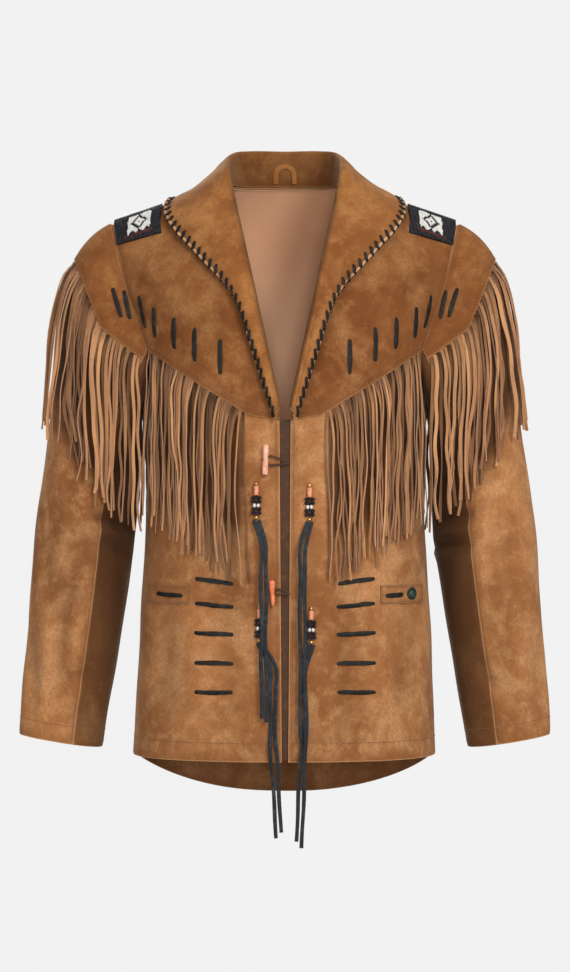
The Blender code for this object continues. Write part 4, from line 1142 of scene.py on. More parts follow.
def add_fringe(comb, grid, row, span, skin, material, suffix=""):
    """A comb of strands under a yoke's edge."""
    random = np.random.default_rng(comb.seed + len(suffix))
    roots, lowers, normals, sides, pitch = fringe_places(grid, row, comb.count, *span)
    tubes, painted_cover_shades = [], []
    for root, lower, normal, side in zip(roots, lowers, normals, sides):
        width = pitch * random.uniform(0.60, 0.98)
        outer = comb.outer_flare * np.clip((abs(root[0]) - OUTER_FLARE_X) / 0.022, 0.0, 1.0)
        inner = comb.inner_flare * np.clip((INNER_FLARE_X - abs(root[0])) / 0.012, 0.0, 1.0)
        flare = (outer + inner) * math.copysign(1.0, root[0])
        rings, painted_cover_shade = strand(root, lower, normal, side, width, comb, skin, random, flare)
        tubes.append(rings)
        painted_cover_shades.append(np.repeat(painted_cover_shade, STRAND_SIDES))
    tones = np.clip(random.normal(0.58, 0.26, comb.count), 0, 1)
    rings = len(tubes[0])
    turn = np.abs(np.cos(np.arange(STRAND_SIDES) * 2 * math.pi / STRAND_SIDES + math.pi / STRAND_SIDES))
    attributes = {"strand": np.repeat(tones, rings * STRAND_SIDES), "side": np.tile(turn, comb.count * rings),
                  "shade": np.concatenate(painted_cover_shades)}
    name = comb.name + suffix
    return add_tubes("strands_" + name.removeprefix("fringe_"), tubes, material, "fringe", name,
                     attributes=attributes, smooth_angle=50.0)


# Stitching

STITCH_LENGTH = 0.0034
STITCH_PITCH = 0.0044
STITCH_RADIUS = 0.00040


def edge_line(grid, edge, distance, lift):
    """A line at a distance in from one edge of a grid, and its normals."""
    from_edge = {
        "top": lambda a: a.transpose(1, 0, 2),
        "bottom": lambda a: a[::-1].transpose(1, 0, 2),
        "first": lambda a: a,
        "last": lambda a: a[:, ::-1],
    }[edge]
    path, normals = [], []
    for line, normal in zip(from_edge(grid.points), from_edge(grid.normals)):
        run = run_of(line)
        path.append(line_at(run, line, distance))
        normals.append(line_at(run, normal, distance))
    normals = unit(normals)
    return np.array(path) + normals * lift, normals


def stitches(path, normals):
    """Small raised stitches along a line, their ends sunk in the cloth."""
    run = run_of(path)
    count = max(int(run[-1] / STITCH_PITCH), 1)
    middle = (np.arange(count) + 0.5) * run[-1] / count
    rings, sizes = [], []
    for share, height, size in ((-0.5, -0.3, 0.5), (-0.25, 0.45, 1.0), (0.25, 0.45, 1.0), (0.5, -0.3, 0.5)):
        at = middle + share * STITCH_LENGTH
        normal = unit(line_at(run, normals, at))
        across = unit(np.cross(line_at(run, path, at + 1e-3) - line_at(run, path, at - 1e-3), normal))
        rings.append((line_at(run, path, at) + normal * height * STITCH_RADIUS, across, normal))
        sizes.append(size * STITCH_RADIUS)
    sizes = np.array(sizes)
    tubes = []
    for i in range(count):
        place, across, normal = (np.array([ring[k][i] for ring in rings]) for k in range(3))
        tubes.append(tube(place, across, normal, sizes * 1.15, sizes, 5))
    return tubes


def add_stitching(name, lines, material):
    tubes = [one for path, normals in lines for one in stitches(path, normals)]
    add_tubes("stitching_" + name, tubes, material, "suede", smooth_angle=80.0)


# Collar

CollarFold = namedtuple("CollarFold", "station x y z")
COLLAR_FOLD = (
    CollarFold(0, 0.0000, 0.064, 0.0535),
    CollarFold(3, 0.0500, 0.047, 0.0515),
    CollarFold(5, 0.0665, 0.021, 0.0445),
    CollarFold(6, 0.0710, -0.004, 0.0340),
    CollarFold(7, 0.0695, -0.050, 0.0100),
)
CollarEdge = namedtuple("CollarEdge", "station x z side")
COLLAR_EDGE = (
    CollarEdge(0, 0.0000, -0.035, 1),
    CollarEdge(2, 0.0550, -0.037, 1),
    CollarEdge(4, 0.1030, -0.035, 1),
    CollarEdge(5, 0.1300, -0.029, 1),
    CollarEdge(6, 0.1440, -0.015, 0),
    CollarEdge(7, 0.1530, -0.045, -1),
    CollarEdge(8, 0.1310, -0.069, -1),
    CollarEdge(9, 0.1060, -0.097, -1),
    CollarEdge(11, 0.0600, -0.147, -1),
    CollarEdge(16, 0.0120, -0.303, -1),
)
COLLAR_WALL = 0.0022
COLLAR_STEP = 0.0018
COLLAR_CLEAR = 0.0062
FOLD_LIFT = 0.010
FOLD_RADIUS = 0.007
ROLL_RISE = 0.022
LAST_STATION = 16
ROLL_STATION = 7
STAND_ROWS = 6
FOLD_ROWS = 9
FALL_ROWS = 14


def collar_fold(stations, seam_z):
    """The fold line: round the neck by its table, then down the roll of the V."""
    whole = np.arange(LAST_STATION + 1)
    fold = np.array([smooth(COLLAR_FOLD, "station", axis, whole) for axis in "xyz"]).T
    for k in range(ROLL_STATION + 1, LAST_STATION + 1):
        rise = ROLL_RISE * ((LAST_STATION - k) / (LAST_STATION - ROLL_STATION)) ** 1.5
        z = np.interp(k, stations, seam_z) + rise
        x = V_X + (z - V_Z) / -V_Z * (NECK_X - V_X) + 0.0010
        fold[k] = (x, body_y(FRONT, x, z) - FOLD_LIFT, z)
    return spline(fold, stations)


def collar_edge(stations):
    """The outer edge, in front of the yokes and behind the back one."""
    x, z = (straight(COLLAR_EDGE, "station", axis, stations) for axis in ("x", "z"))
    side = straight(COLLAR_EDGE, "station", "side", stations)
    front = body_y(FRONT, x, z) - COLLAR_CLEAR
    back = body_y(BACK, x, z) + COLLAR_CLEAR
    share = np.clip(0.5 + 2.0 * side, 0.0, 1.0)
    y = front + share * (back - front)
    return np.stack([x, y, z], -1)


def collar_seam(front, front_places, back, back_places):
    """The neck seam from the middle of the back to the V point, the way out there, and its stations."""
    round_back = back_places < len(BACK_NECK_XS)
    down_front = front_places <= len(NECK_HEIGHTS)
    seam = np.concatenate([back.points[0, round_back], front.points[0, down_front][::-1]])
    outward = unit(np.concatenate([back.normals[0, round_back], front.normals[0, down_front][::-1]]))
    stations = np.concatenate([2 * back_places[round_back],
                               6 + 2 * (len(NECK_HEIGHTS) - front_places[down_front][::-1])])
    return seam, outward, stations


def collar_rows(base, fold, edge, skin):
    """Half of the collar: up the stand, over the fold and down the fall, clear of the yokes."""
    near, far = unit(base + 0.55 * (fold - base) - fold), unit(edge - fold)
    first, second = fold + FOLD_RADIUS * near, fold + FOLD_RADIUS * far
    rows = [base + share * (first - base) for share in np.linspace(0, 1, STAND_ROWS + 1)[:-1]]
    for t in np.linspace(0, 1, FOLD_ROWS):
        rows.append((1 - t) ** 2 * first + 2 * t * (1 - t) * fold + t * t * second)
    fall = np.concatenate([np.linspace(0, 1, FALL_ROWS + 2)[1:-1], [0.975, 0.99, 1.0]])
    for share in fall:
        row = second + share * (edge - second)
        swell = 0.0035 * math.sin(math.pi * share)
        rows.append(np.array([cleared(point, skin, COLLAR_CLEAR + swell) for point in row]))
    return np.array(rows)


def collar_grid(front, front_places, back, back_places, skin):
    """The whole collar, its fall smoothed and slightly uneven."""
    seam, outward, stations = collar_seam(front, front_places, back, back_places)
    away = unit(np.cross(np.gradient(seam, axis=0), outward))
    base = seam - 0.5 * WALL * outward + COLLAR_STEP * away
    half = collar_rows(base, collar_fold(stations, seam[:, 2]), softened(collar_edge(stations), 2), skin)
    top = STAND_ROWS + FOLD_ROWS + 2
    for _ in range(2):
        half[top:-1, 1:-1] = (half[top - 1:-2, 1:-1] + half[top + 1:, 1:-1] + half[top:-1, :-2]
                              + half[top:-1, 2:] + 2 * half[top:-1, 1:-1]) / 6
    points = np.concatenate([(half * np.array([-1.0, 1.0, 1.0]))[:, :0:-1], half], 1)
    down, over = np.gradient(points, axis=0), np.gradient(points, axis=1)
    normals = unit(np.cross(over, down))
    if (normals[-1] * points[-1])[..., 1].sum() < 0:
        normals *= -1
    grid = Grid(points, normals)
    fallen = np.clip((np.arange(len(half)) - top + 1) / 8, 0, 1)[:, None]
    return grid.lifted(rolling(grid.place, 1.0, 0.0010) * fallen)


def add_roll(name, line, normals, radius, material):
    """A raw edge that shows as a thin round roll."""
    rings = tube(line, *frame_along(line, normals), radius, radius, 8)
    add_tubes(name, [rings], material, "suede", attributes={"edge": np.full(8 * len(rings), 0.05)})


WHIP_PITCH = 0.0121
WHIP_REACH = 0.0076
WHIP_SLANT = 0.0046
WHIP_HALF = 0.0023
WHIP_HALF_THICK = 0.0008
WHIP_SINK = 0.0014
WHIP_CLEAR = 0.0010
WHIP_WRAP = 0.0029


def collar_place(grid, run, along, inside):
    """Point, normal and way in on the collar at a distance along its outer edge and in from it."""
    across = np.interp(along, run, np.arange(len(run)))
    c = min(int(across), len(run) - 2)
    t = across - c
    points = ((1 - t) * grid.points[:, c] + t * grid.points[:, c + 1])[::-1]
    normals = ((1 - t) * grid.normals[:, c] + t * grid.normals[:, c + 1])[::-1]
    depth = run_of(points)
    into = unit(points[5] - points[0])
    return line_at(depth, points, inside), unit(line_at(depth, normals, inside)), into


def whip_stitches(grid):
    """Slanted thong stitches that wrap the collar's outer edge."""
    run = run_of(grid.points[-1])
    count = int(run[-1] / WHIP_PITCH)
    half = COLLAR_WALL / 2 + WHIP_CLEAR
    tubes = []
    for i in range(count):
        at = (i + 0.5) * run[-1] / count
        lean = 1.0 if at > run[-1] / 2 else -1.0
        path, outs = [], []
        steps = [(WHIP_REACH * (1 - t), 1.0, -1 + t) for t in np.linspace(0, 0.85, 5)]
        steps += [(-WHIP_WRAP * math.sin(a), math.cos(a), 0.0) for a in np.linspace(0.3, math.pi - 0.3, 5)]
        steps += [(WHIP_REACH * t, -1.0, t) for t in np.linspace(0.15, 1.0, 5)]
        for inside, level, along in steps:
            point, out, into = collar_place(grid, run, at + lean * along * WHIP_SLANT, max(inside, 0.0))
            path.append(point + into * min(inside, 0.0) + out * half * level)
            outs.append(out * level - into * math.sqrt(max(0.0, 1 - level * level)))
        path = np.array(path)
        path[0] -= outs[0] * WHIP_SINK
        path[-1] -= outs[-1] * WHIP_SINK
        widths = WHIP_HALF * np.array([0.6] + [1.0] * (len(path) - 2) + [0.6])
        tubes.append(tube(path, *frame_along(path, np.array(outs)), widths, WHIP_HALF_THICK, 8, 0.8))
    return tubes


# Laces and pocket welts

Lace = namedtuple("Lace", "name x top bottom lean")
YOKE_LACES = (
    Lace("yoke_lace_1", 0.0790, -0.2020, -0.2460, 0.0000),
    Lace("yoke_lace_2", 0.1105, -0.1870, -0.2300, 0.0000),
    Lace("yoke_lace_3", 0.1370, -0.1740, -0.2140, 0.0010),
    Lace("yoke_lace_4", 0.1625, -0.1600, -0.1990, 0.0020),
    Lace("yoke_lace_5", 0.1820, -0.1440, -0.1860, 0.0090),
    Lace("yoke_lace_6", 0.2015, -0.1370, -0.1740, 0.0080),
    Lace("yoke_lace_7", 0.2160, -0.1340, -0.1720, 0.0120),
)
FrontLace = namedtuple("FrontLace", "inner_x outer_x inner_z outer_z")
FRONT_LACES = (
    FrontLace(0.0625, 0.1110, -0.5020, -0.4955),
    FrontLace(0.0625, 0.1110, -0.5300, -0.5260),
    FrontLace(0.0625, 0.1120, -0.5640, -0.5620),
    FrontLace(0.0625, 0.1120, -0.5995, -0.5990),
    FrontLace(0.0635, 0.1120, -0.6345, -0.6350),
    FrontLace(0.1255, 0.1600, -0.5170, -0.5150),
)
POCKET_CONCHO_LACE = FrontLace(0.1235, 0.1465, -0.5170, -0.5160)
LACE_HALF = 0.0030
LACE_HALF_THICK = 0.0009
LACE_SINK = 0.0012
LACE_RISE = 0.0030


def lace_tube(start, end, skin):
    """A thong bar over the skin between two slits, its ends sunk in."""
    shares = np.linspace(0.0, 1.0, 15)
    path, normals = [], []
    for share in shares:
        x = start[0] + share * (end[0] - start[0])
        z = start[1] + share * (end[1] - start[1])
        place, normal = on_skin(skin, x, z)
        path.append(place + normal * (-LACE_SINK + LACE_RISE * math.sin(math.pi * share) ** 0.35))
        normals.append(normal)
    widths = LACE_HALF * (0.55 + 0.45 * np.sin(math.pi * np.clip(shares, 0.02, 0.98)) ** 0.4)
    widths *= 1 + 0.06 * np.sin(13 * shares + 80 * start[0])
    return tube(path, *frame_along(path, np.array(normals)), widths, LACE_HALF_THICK, 10, 0.8)


def add_yoke_laces(skin, material):
    for lace in YOKE_LACES:
        for side, sign in SIDES.items():
            bar = lace_tube((sign * lace.x, lace.top), (sign * (lace.x - lace.lean), lace.bottom), skin)
            name = lace.name + "_" + side
            add_tubes("lacing_" + name.removeprefix("yoke_"), [bar], material, "lace", name)


def add_front_laces(skin, material):
    for side, sign in SIDES.items():
        pocket_lace = POCKET_CONCHO_LACE if side == "left" else FRONT_LACES[-1]
        tubes = []
        for lace in (*FRONT_LACES[:-1], pocket_lace):
            start, end = (sign * lace.inner_x, lace.inner_z), (sign * lace.outer_x, lace.outer_z)
            tubes.append(lace_tube(start, end, skin))
        add_tubes("front_laces_" + side, tubes, material, "lace")


Pocket = namedtuple("Pocket", "inner_x outer_x top_z bottom_z")
POCKET = Pocket(0.1170, 0.1700, -0.5040, -0.5270)


def welt_grid(skin, side):
    """The welt's points, laid on the front."""
    xs = np.linspace(POCKET.inner_x, POCKET.outer_x, 28) * side
    zs = np.linspace(POCKET.top_z, POCKET.bottom_z, 12)
    found = np.array([[on_skin(skin, x, z) for x in xs] for z in zs])
    return Grid(found[:, :, 0], unit(found[:, :, 1]))


def turned(profile, sides, centre, axis=(0.0, 0.0, 1.0)):
    """Rings of a turned piece from (radius, height) pairs about an axis through its centre."""
    axis = unit(np.array(axis))
    first = unit(np.cross(axis, [0.0, 1.0, 0.0] if abs(axis[1]) < 0.9 else [1.0, 0.0, 0.0]))
    second = np.cross(axis, first)
    turn = np.linspace(0, 2 * math.pi, sides, endpoint=False)
    rings = []
    for radius, height in profile:
        centre_here = np.asarray(centre) + axis * height
        rings.append([centre_here + radius * (math.cos(t) * first + math.sin(t) * second) for t in turn])
    return np.array(rings)


def bead_profile(radius, top, bottom, hole=0.35, steps=7):
    """A bead's round outline from its upper to its lower hole."""
    middle, half = (top + bottom) / 2, (top - bottom) / 2
    turn = np.linspace(math.acos(0.92), math.pi - math.acos(0.92), steps)
    return [(max(radius * math.sin(t), radius * hole), middle + half * math.cos(t) / 0.92) for t in turn]


# Bead drops and hanging thongs

BeadDrop = namedtuple("BeadDrop", "name x top")
BEAD_DROPS = (
    BeadDrop("bead_drop_upper_right", -0.0350, -0.3770),
    BeadDrop("bead_drop_upper_left", 0.0300, -0.3790),
    BeadDrop("bead_drop_lower_right", -0.0310, -0.5270),
    BeadDrop("bead_drop_lower_left", 0.0320, -0.5290),
)
DROP_HEIGHT = 0.046
BRASS_RADIUS = 0.0026
BRASS_ENDS = ((-0.0002, -0.0046), (-0.0412, -0.0458))
JET_OFFSET = 0.0036
JET_TOP = -0.0170
JET_PITCH = 0.0047
JET_RADIUS = 0.0030
JET_HEIGHT = 0.0045
WHITE_RADIUS = 0.0021
CORAL_PROFILE = ((0.0014, -0.0048), (0.0029, -0.0052), (0.0031, -0.0105), (0.0028, -0.0158),
                 (0.0014, -0.0162))
CORE_PROFILE = ((0.0006, -0.0040), (0.0006, -0.0445))
BRASS, CORAL, JET, WHITE, THREAD = range(5)


def drop_parts():
    """The profile, sides, offset and colour of each bead on a drop."""
    upper, lower = (bead_profile(BRASS_RADIUS, *ends) for ends in BRASS_ENDS)
    parts = [(upper, 14, 0.0, BRASS), (CORAL_PROFILE, 14, 0.0, CORAL), (CORE_PROFILE, 6, 0.0, THREAD),
             (lower, 14, 0.0, BRASS)]
    for side in (-1, 1):
        for step, colour in enumerate((JET, JET, WHITE, JET, JET)):
            top = JET_TOP - JET_PITCH * step
            radius, share = (JET_RADIUS, 1.0) if colour == JET else (WHITE_RADIUS, 0.6)
            profile = bead_profile(radius, top, top - JET_HEIGHT, 0.4, 5)
            parts.append((profile, 8, side * JET_OFFSET * share, colour))
    return parts


def add_bead_drop(drop, materials):
    """A brass bead, a coral tube, two strings of cut jet beads with a white pair between, a brass bead."""
    low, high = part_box(drop.name)
    centre = np.array([drop.x, (low[1] + high[1]) / 2, drop.top])
    tubes, indices = [], []
    for profile, sides, offset, colour in drop_parts():
        rings = turned(profile, sides, centre + np.array([offset, 0.0, 0.0]))
        tubes.append(rings)
        indices += [colour] * ((len(rings) - 1) * sides + 2)
    add_tubes("beads_" + drop.name.removeprefix("bead_drop_"), tubes, materials, "beads", drop.name, indices,
              smooth_angle=35.0)
    return centre


THONG_WIDTH = 0.0050
THONG_THICK = 0.0015
THONG_PITCH = 0.0056
THONG_GAP = 0.0005
Thong = namedtuple("Thong", "name drop side x foot_x foot_z forward")
THONGS = (
    Thong("thong_upper_right_1", 0, -1, -0.0290, -0.0282, -0.6650, 0.0092),
    Thong("thong_upper_right_2", 0, 1, -0.0233, -0.0225, -0.6700, 0.0092),
    Thong("thong_upper_left_1", 1, -1, 0.0185, 0.0190, -0.6900, 0.0092),
    Thong("thong_upper_left_2", 1, 1, 0.0245, 0.0250, -0.6980, 0.0092),
    Thong("thong_lower_right_1", 2, -1, -0.0180, -0.0110, -0.8120, 0.0045),
    Thong("thong_lower_right_2", 2, 1, -0.0115, -0.0045, -0.8050, 0.0045),
    Thong("thong_lower_left_1", 3, -1, 0.0195, 0.0140, -0.8160, 0.0045),
    Thong("thong_lower_left_2", 3, 1, 0.0255, 0.0200, -0.8240, 0.0045),
)


def thong_path(thong, knot):
    """The thong's middle line, from under its beads down past the hem to its free end."""
    start_x = knot[0] + thong.side * THONG_PITCH / 2
    start_z = knot[2] - DROP_HEIGHT - THONG_GAP
    path = [np.array([start_x, knot[1], start_z])]
    for share in np.linspace(0.0, 1.0, 9)[1:]:
        z = start_z + share * (thong.foot_z - start_z)
        x = thong.x + max(share - 0.5, 0.0) * 2 * (thong.foot_x - thong.x)
        path.append(np.array([x, body_y(FRONT, x, max(z, HEM_Z)) - thong.forward, z]))
    return np.array(path)


def add_thongs(knots, material):
    for number, thong in enumerate(THONGS):
        route = thong_path(thong, knots[thong.drop])
        share = np.linspace(0.0, 1.0, 49)
        path = spline(route, share * (len(route) - 1))
        path[:, 0] += 0.0009 * np.sin(15 * share + 2.1 * number) * np.sin(math.pi * share)
        path[:, 1] -= 0.0008 * np.sin(11 * share + 1.3 * number) ** 2 * np.sin(math.pi * share)
        across, outward = frame_along(path, np.broadcast_to([0.0, -1.0, 0.0], path.shape))
        twist = 0.35 * np.sin(6 * share + 1.7 * number) * np.sin(math.pi * share)
        widths = THONG_WIDTH / 2 * (1 + 0.05 * np.sin(19 * share + number))
        rings = tube(path, *twisted(across, outward, twist), widths, THONG_THICK / 2, 10, 0.7)
        made = add_tubes("cord_" + thong.name, [rings], material, "thong", thong.name, smooth_angle=50.0)
        float(run_of(route)[-1])


# Shoulder beadwork


def patch_grid(rows, columns):
    """The beaded shoulder patch's ground, from the front over the ridge to the back."""
    xs = np.linspace(RIDGE_XS[3] + 0.002, SHOULDER_X - YOKE_INSET, columns)
    depth = 0.040 - 0.010 * np.clip((xs - RIDGE_XS[3]) / (SHOULDER_X - RIDGE_XS[3]), 0.0, 1.0)
    made = []
    for face, shares in ((FRONT, np.linspace(1, 0, rows)), (BACK, np.linspace(0, 1, rows)[1:])):
        share = share_of(face, xs, ridge(xs))
        for fraction in shares:
            z = ridge(xs) - depth * fraction
            made.append((body_point(face, angle_at(face, share, z), z), body_normal(face, share, z)))
    points, normals = (np.array(part) for part in zip(*made))
    slope = SHOULDER_DROP / (SHOULDER_X - NECK_X)
    points[rows - 1, :, 1] = 0.0
    normals[rows - 1] = unit([slope, 0.0, 1.0])
    return Grid(points, normals)


BEAD = 0.00185
BEAD_RINGS = ((-0.42, 0.30), (-0.22, 0.50), (0.22, 0.50), (0.42, 0.30))
BEAD_SIDES = 6
BEAD_LIFT = 0.0006
CHART_X = 0.1835
CHART_STEP = 0.0019
CHART_DROP = 0.0108
BLACK_BEAD, WHITE_BEAD, RED_BEAD = range(3)


def bead_colour(place):
    """A chart by front-view place: a pale square with a diamond, stepped points and a red band."""
    if place[1] > 0:
        return BLACK_BEAD
    along = round((place[0] - CHART_X) / CHART_STEP)
    across = abs(along)
    down = round((float(ridge(place[0])) - place[2] - CHART_DROP) / CHART_STEP)
    if across <= 7 and abs(down) <= 5:
        return BLACK_BEAD if across + abs(down) in (0, 4, 5) else WHITE_BEAD
    if across <= 7 and down in (6, 7):
        point = (2,) if down == 7 else (1, 2, 3)
        return WHITE_BEAD if along % 5 in point else BLACK_BEAD
    return RED_BEAD if across <= 9 and down in (8, 9) else BLACK_BEAD


def seed_bead(centre, normal, tangent, third):
    """A round bead that lies along its row."""
    turn = np.linspace(0, 2 * math.pi, BEAD_SIDES, endpoint=False)
    ring = [centre + (along * BEAD * tangent + size * BEAD * (math.cos(t) * normal + math.sin(t) * third))
            for along, size in BEAD_RINGS for t in turn]
    return np.array(ring).reshape(len(BEAD_RINGS), BEAD_SIDES, 3)


def add_beadwork(grid, side, materials):
    """Seed beads in rows over the patch."""
    rows, columns = (int(run_of(line)[-1] / BEAD) for line in (grid.points[:, 0], grid.points[0]))
    down = (np.arange(rows) + 0.5) / rows * (len(grid.points) - 1)
    over = (np.arange(columns) + 0.5) / columns * (grid.points.shape[1] - 1)
    centres, normals = grid.at(*np.meshgrid(down, over, indexing="ij"))
    tangent = unit(np.gradient(centres, axis=1))
    third = np.cross(normals, tangent)
    rings, indices = [], []
    for j in range(rows):
        for i in range(columns):
            centre = centres[j, i] + normals[j, i] * BEAD_LIFT
            ring = seed_bead(centre, normals[j, i], tangent[j, i], third[j, i])
            rings.append(ring * np.array([SIDES[side], 1.0, 1.0]))
            indices += [bead_colour(centres[j, i])] * ((len(BEAD_RINGS) - 1) * BEAD_SIDES + 2)
    add_tubes("beadwork_" + side, rings, materials, "beadwork", None, indices)


# Toggles, concho and hang loop

BAR_PROFILE = ((0.0006, 0.0185), (0.0026, 0.0184), (0.0034, 0.0176), (0.0036, 0.0160), (0.0035, 0.0030),
               (0.0030, 0.0012), (0.0030, -0.0012), (0.0035, -0.0030), (0.0036, -0.0160), (0.0034, -0.0176),
               (0.0026, -0.0184), (0.0006, -0.0185))
HORN_PROFILE = ((0.0006, 0.0158), (0.0030, 0.0157), (0.0040, 0.0145), (0.0042, 0.0125), (0.0034, 0.0030),
                (0.0028, 0.0010), (0.0028, -0.0010), (0.0029, -0.0040), (0.0020, -0.0120), (0.0014, -0.0154),
                (0.0005, -0.0160))
Toggle = namedtuple("Toggle", "name slot profile x z lean loop_x loop_z loop_spread")
TOGGLES = (
    Toggle("upper", "pale_bar", BAR_PROFILE, -0.0237, -0.3500, 2.0, -0.0195, -0.3510, 0.0055),
    Toggle("lower", "coral_horn", HORN_PROFILE, -0.0155, -0.5130, -4.0, -0.0115, -0.5110, 0.0030),
)


LOOP_HALF = 0.0013
LOOP_HALF_THICK = 0.0009
LOOP_CROSSING_X = 0.0055


def add_toggle(toggle, material):
    low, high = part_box("toggle_" + toggle.name)
    centre = np.array([toggle.x, (low[1] + high[1]) / 2, toggle.z])
    lean = math.radians(toggle.lean)
    rings = turned(toggle.profile, 20, centre, (math.sin(lean), 0.0, math.cos(lean)))
    add_tubes("button_" + toggle.name, [rings], material, toggle.slot, "toggle_" + toggle.name,
              smooth_angle=50.0)


def add_toggle_loop(toggle, material):
    """The thong round the toggle's waist, both its ends led across the front gap."""
    low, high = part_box("toggle_loop_" + toggle.name)
    x, z, spread, y = toggle.loop_x, toggle.loop_z, toggle.loop_spread, (low[1] + high[1]) / 2
    route = np.array([(x - 0.002, y, z + 0.4 * spread), (x + 0.001, y, z + spread),
                      (x + 0.010, y, z + 0.6 * spread), (LOOP_CROSSING_X, y, z - 0.0025),
                      (x + 0.010, y, z - 0.9 * spread), (x + 0.001, y, z - spread),
                      (x - 0.002, y, z - 0.4 * spread)])
    path = spline(route, np.linspace(0, len(route) - 1, 40))
    across, outward = frame_along(path, np.broadcast_to([0.0, -1.0, 0.0], path.shape))
    rings = tube(path, across, outward, LOOP_HALF, LOOP_HALF_THICK, 8)
    add_tubes("loop_" + toggle.name, [rings], material, "dark_leather", "toggle_loop_" + toggle.name)


CONCHO = (0.1565, -0.5155)
CONCHO_RING = ((0.0004, 0.0004), (0.0080, 0.0004), (0.0082, 0.0012), (0.0076, 0.0022), (0.0064, 0.0024),
               (0.0060, 0.0020), (0.0004, 0.0020))
CONCHO_RIBS = 16
CONCHO_RIB_RADIUS = 0.0070
CONCHO_DOME_RADIUS = 0.0058
CONCHO_DOME_RISE = 0.0034
CONCHO_BASE = 0.0018


def add_concho(skin, materials):
    """A domed bead in a ribbed ring on the welt of the wearer's left pocket."""
    place, normal = on_skin(skin, *CONCHO)
    dome = [(CONCHO_DOME_RADIUS * math.cos(t), CONCHO_BASE + CONCHO_DOME_RISE * math.sin(t))
            for t in np.linspace(0.0, 1.5, 8)]
    tubes = [turned(CONCHO_RING, 32, place, normal), turned(dome, 24, place, normal)]
    indices = [0] * ((len(CONCHO_RING) - 1) * 32 + 2) + [1] * ((len(dome) - 1) * 24 + 2)
    side = unit(np.cross(normal, [0.0, 0.0, 1.0]))
    up = np.cross(side, normal)
    for k in range(CONCHO_RIBS):
        turn = 2 * math.pi * k / CONCHO_RIBS
        way = math.cos(turn) * side + math.sin(turn) * up
        spot = place + normal * 0.0020 + CONCHO_RIB_RADIUS * way
        tubes.append(turned(bead_profile(0.0008, 0.0008, -0.0006, 0.3, 4), 6, spot, normal))
        indices += [0] * (3 * 6 + 2)
    add_tubes("concho", tubes, materials, "concho", "pocket_concho", indices, smooth_angle=40.0)


HANG_LOOP_HALF_SPAN = 0.0120
HANG_LOOP_FOOT_Z = 0.0085
HANG_LOOP_RISE = 0.0230
HANG_LOOP_HALF = 0.0027


def add_hang_loop(material):
    """A flat strap arched over the middle of the neck seam."""
    low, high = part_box("hang_loop")
    turn = math.pi * np.linspace(0.0, 1.0, 41)
    x = -HANG_LOOP_HALF_SPAN * np.cos(turn) * (1 + 0.10 * np.sin(turn))
    z = HANG_LOOP_FOOT_Z + HANG_LOOP_RISE * np.sin(turn) ** 0.55
    slope = (high[1] - low[1]) * 0.42
    path = np.stack([x, (low[1] + high[1]) / 2 + slope * (z - 0.02) / 0.024, z], -1)
    across, outward = frame_along(path, np.broadcast_to([0.0, -1.0, 0.0], path.shape))
    rings = tube(path, across, outward, HANG_LOOP_HALF, 0.0009, 8, 0.7)
    edge = np.tile([0.0, 0.004, 0.004, 0.0] * 2, len(path))
    add_tubes("strap_hang_loop", [rings], material, "suede", "hang_loop", attributes={"edge": edge},
              smooth_angle=50.0)


PLACKET_HALF = 0.016
PLACKET_COLUMNS = 13


def placket_grid(front):
    """The strip behind the front gap, from the inside points of both fronts."""
    deep, deep_normals = edge_line(front, "first", PLACKET_HALF, 0.0)
    shares = np.linspace(-1.0, 1.0, PLACKET_COLUMNS)[:, None]
    flip = np.where([True, False, False], np.sign(shares), 1.0)
    sides = []
    for edge, inner in ((front.points[:, 0], deep), (front.normals[:, 0], deep_normals)):
        edge, inner = edge[YOKE_ROWS:, None], inner[YOKE_ROWS:, None]
        sides.append((edge + np.abs(shares) * (inner - edge)) * flip)
    return Grid(sides[0], unit(sides[1]))


# The whole jacket


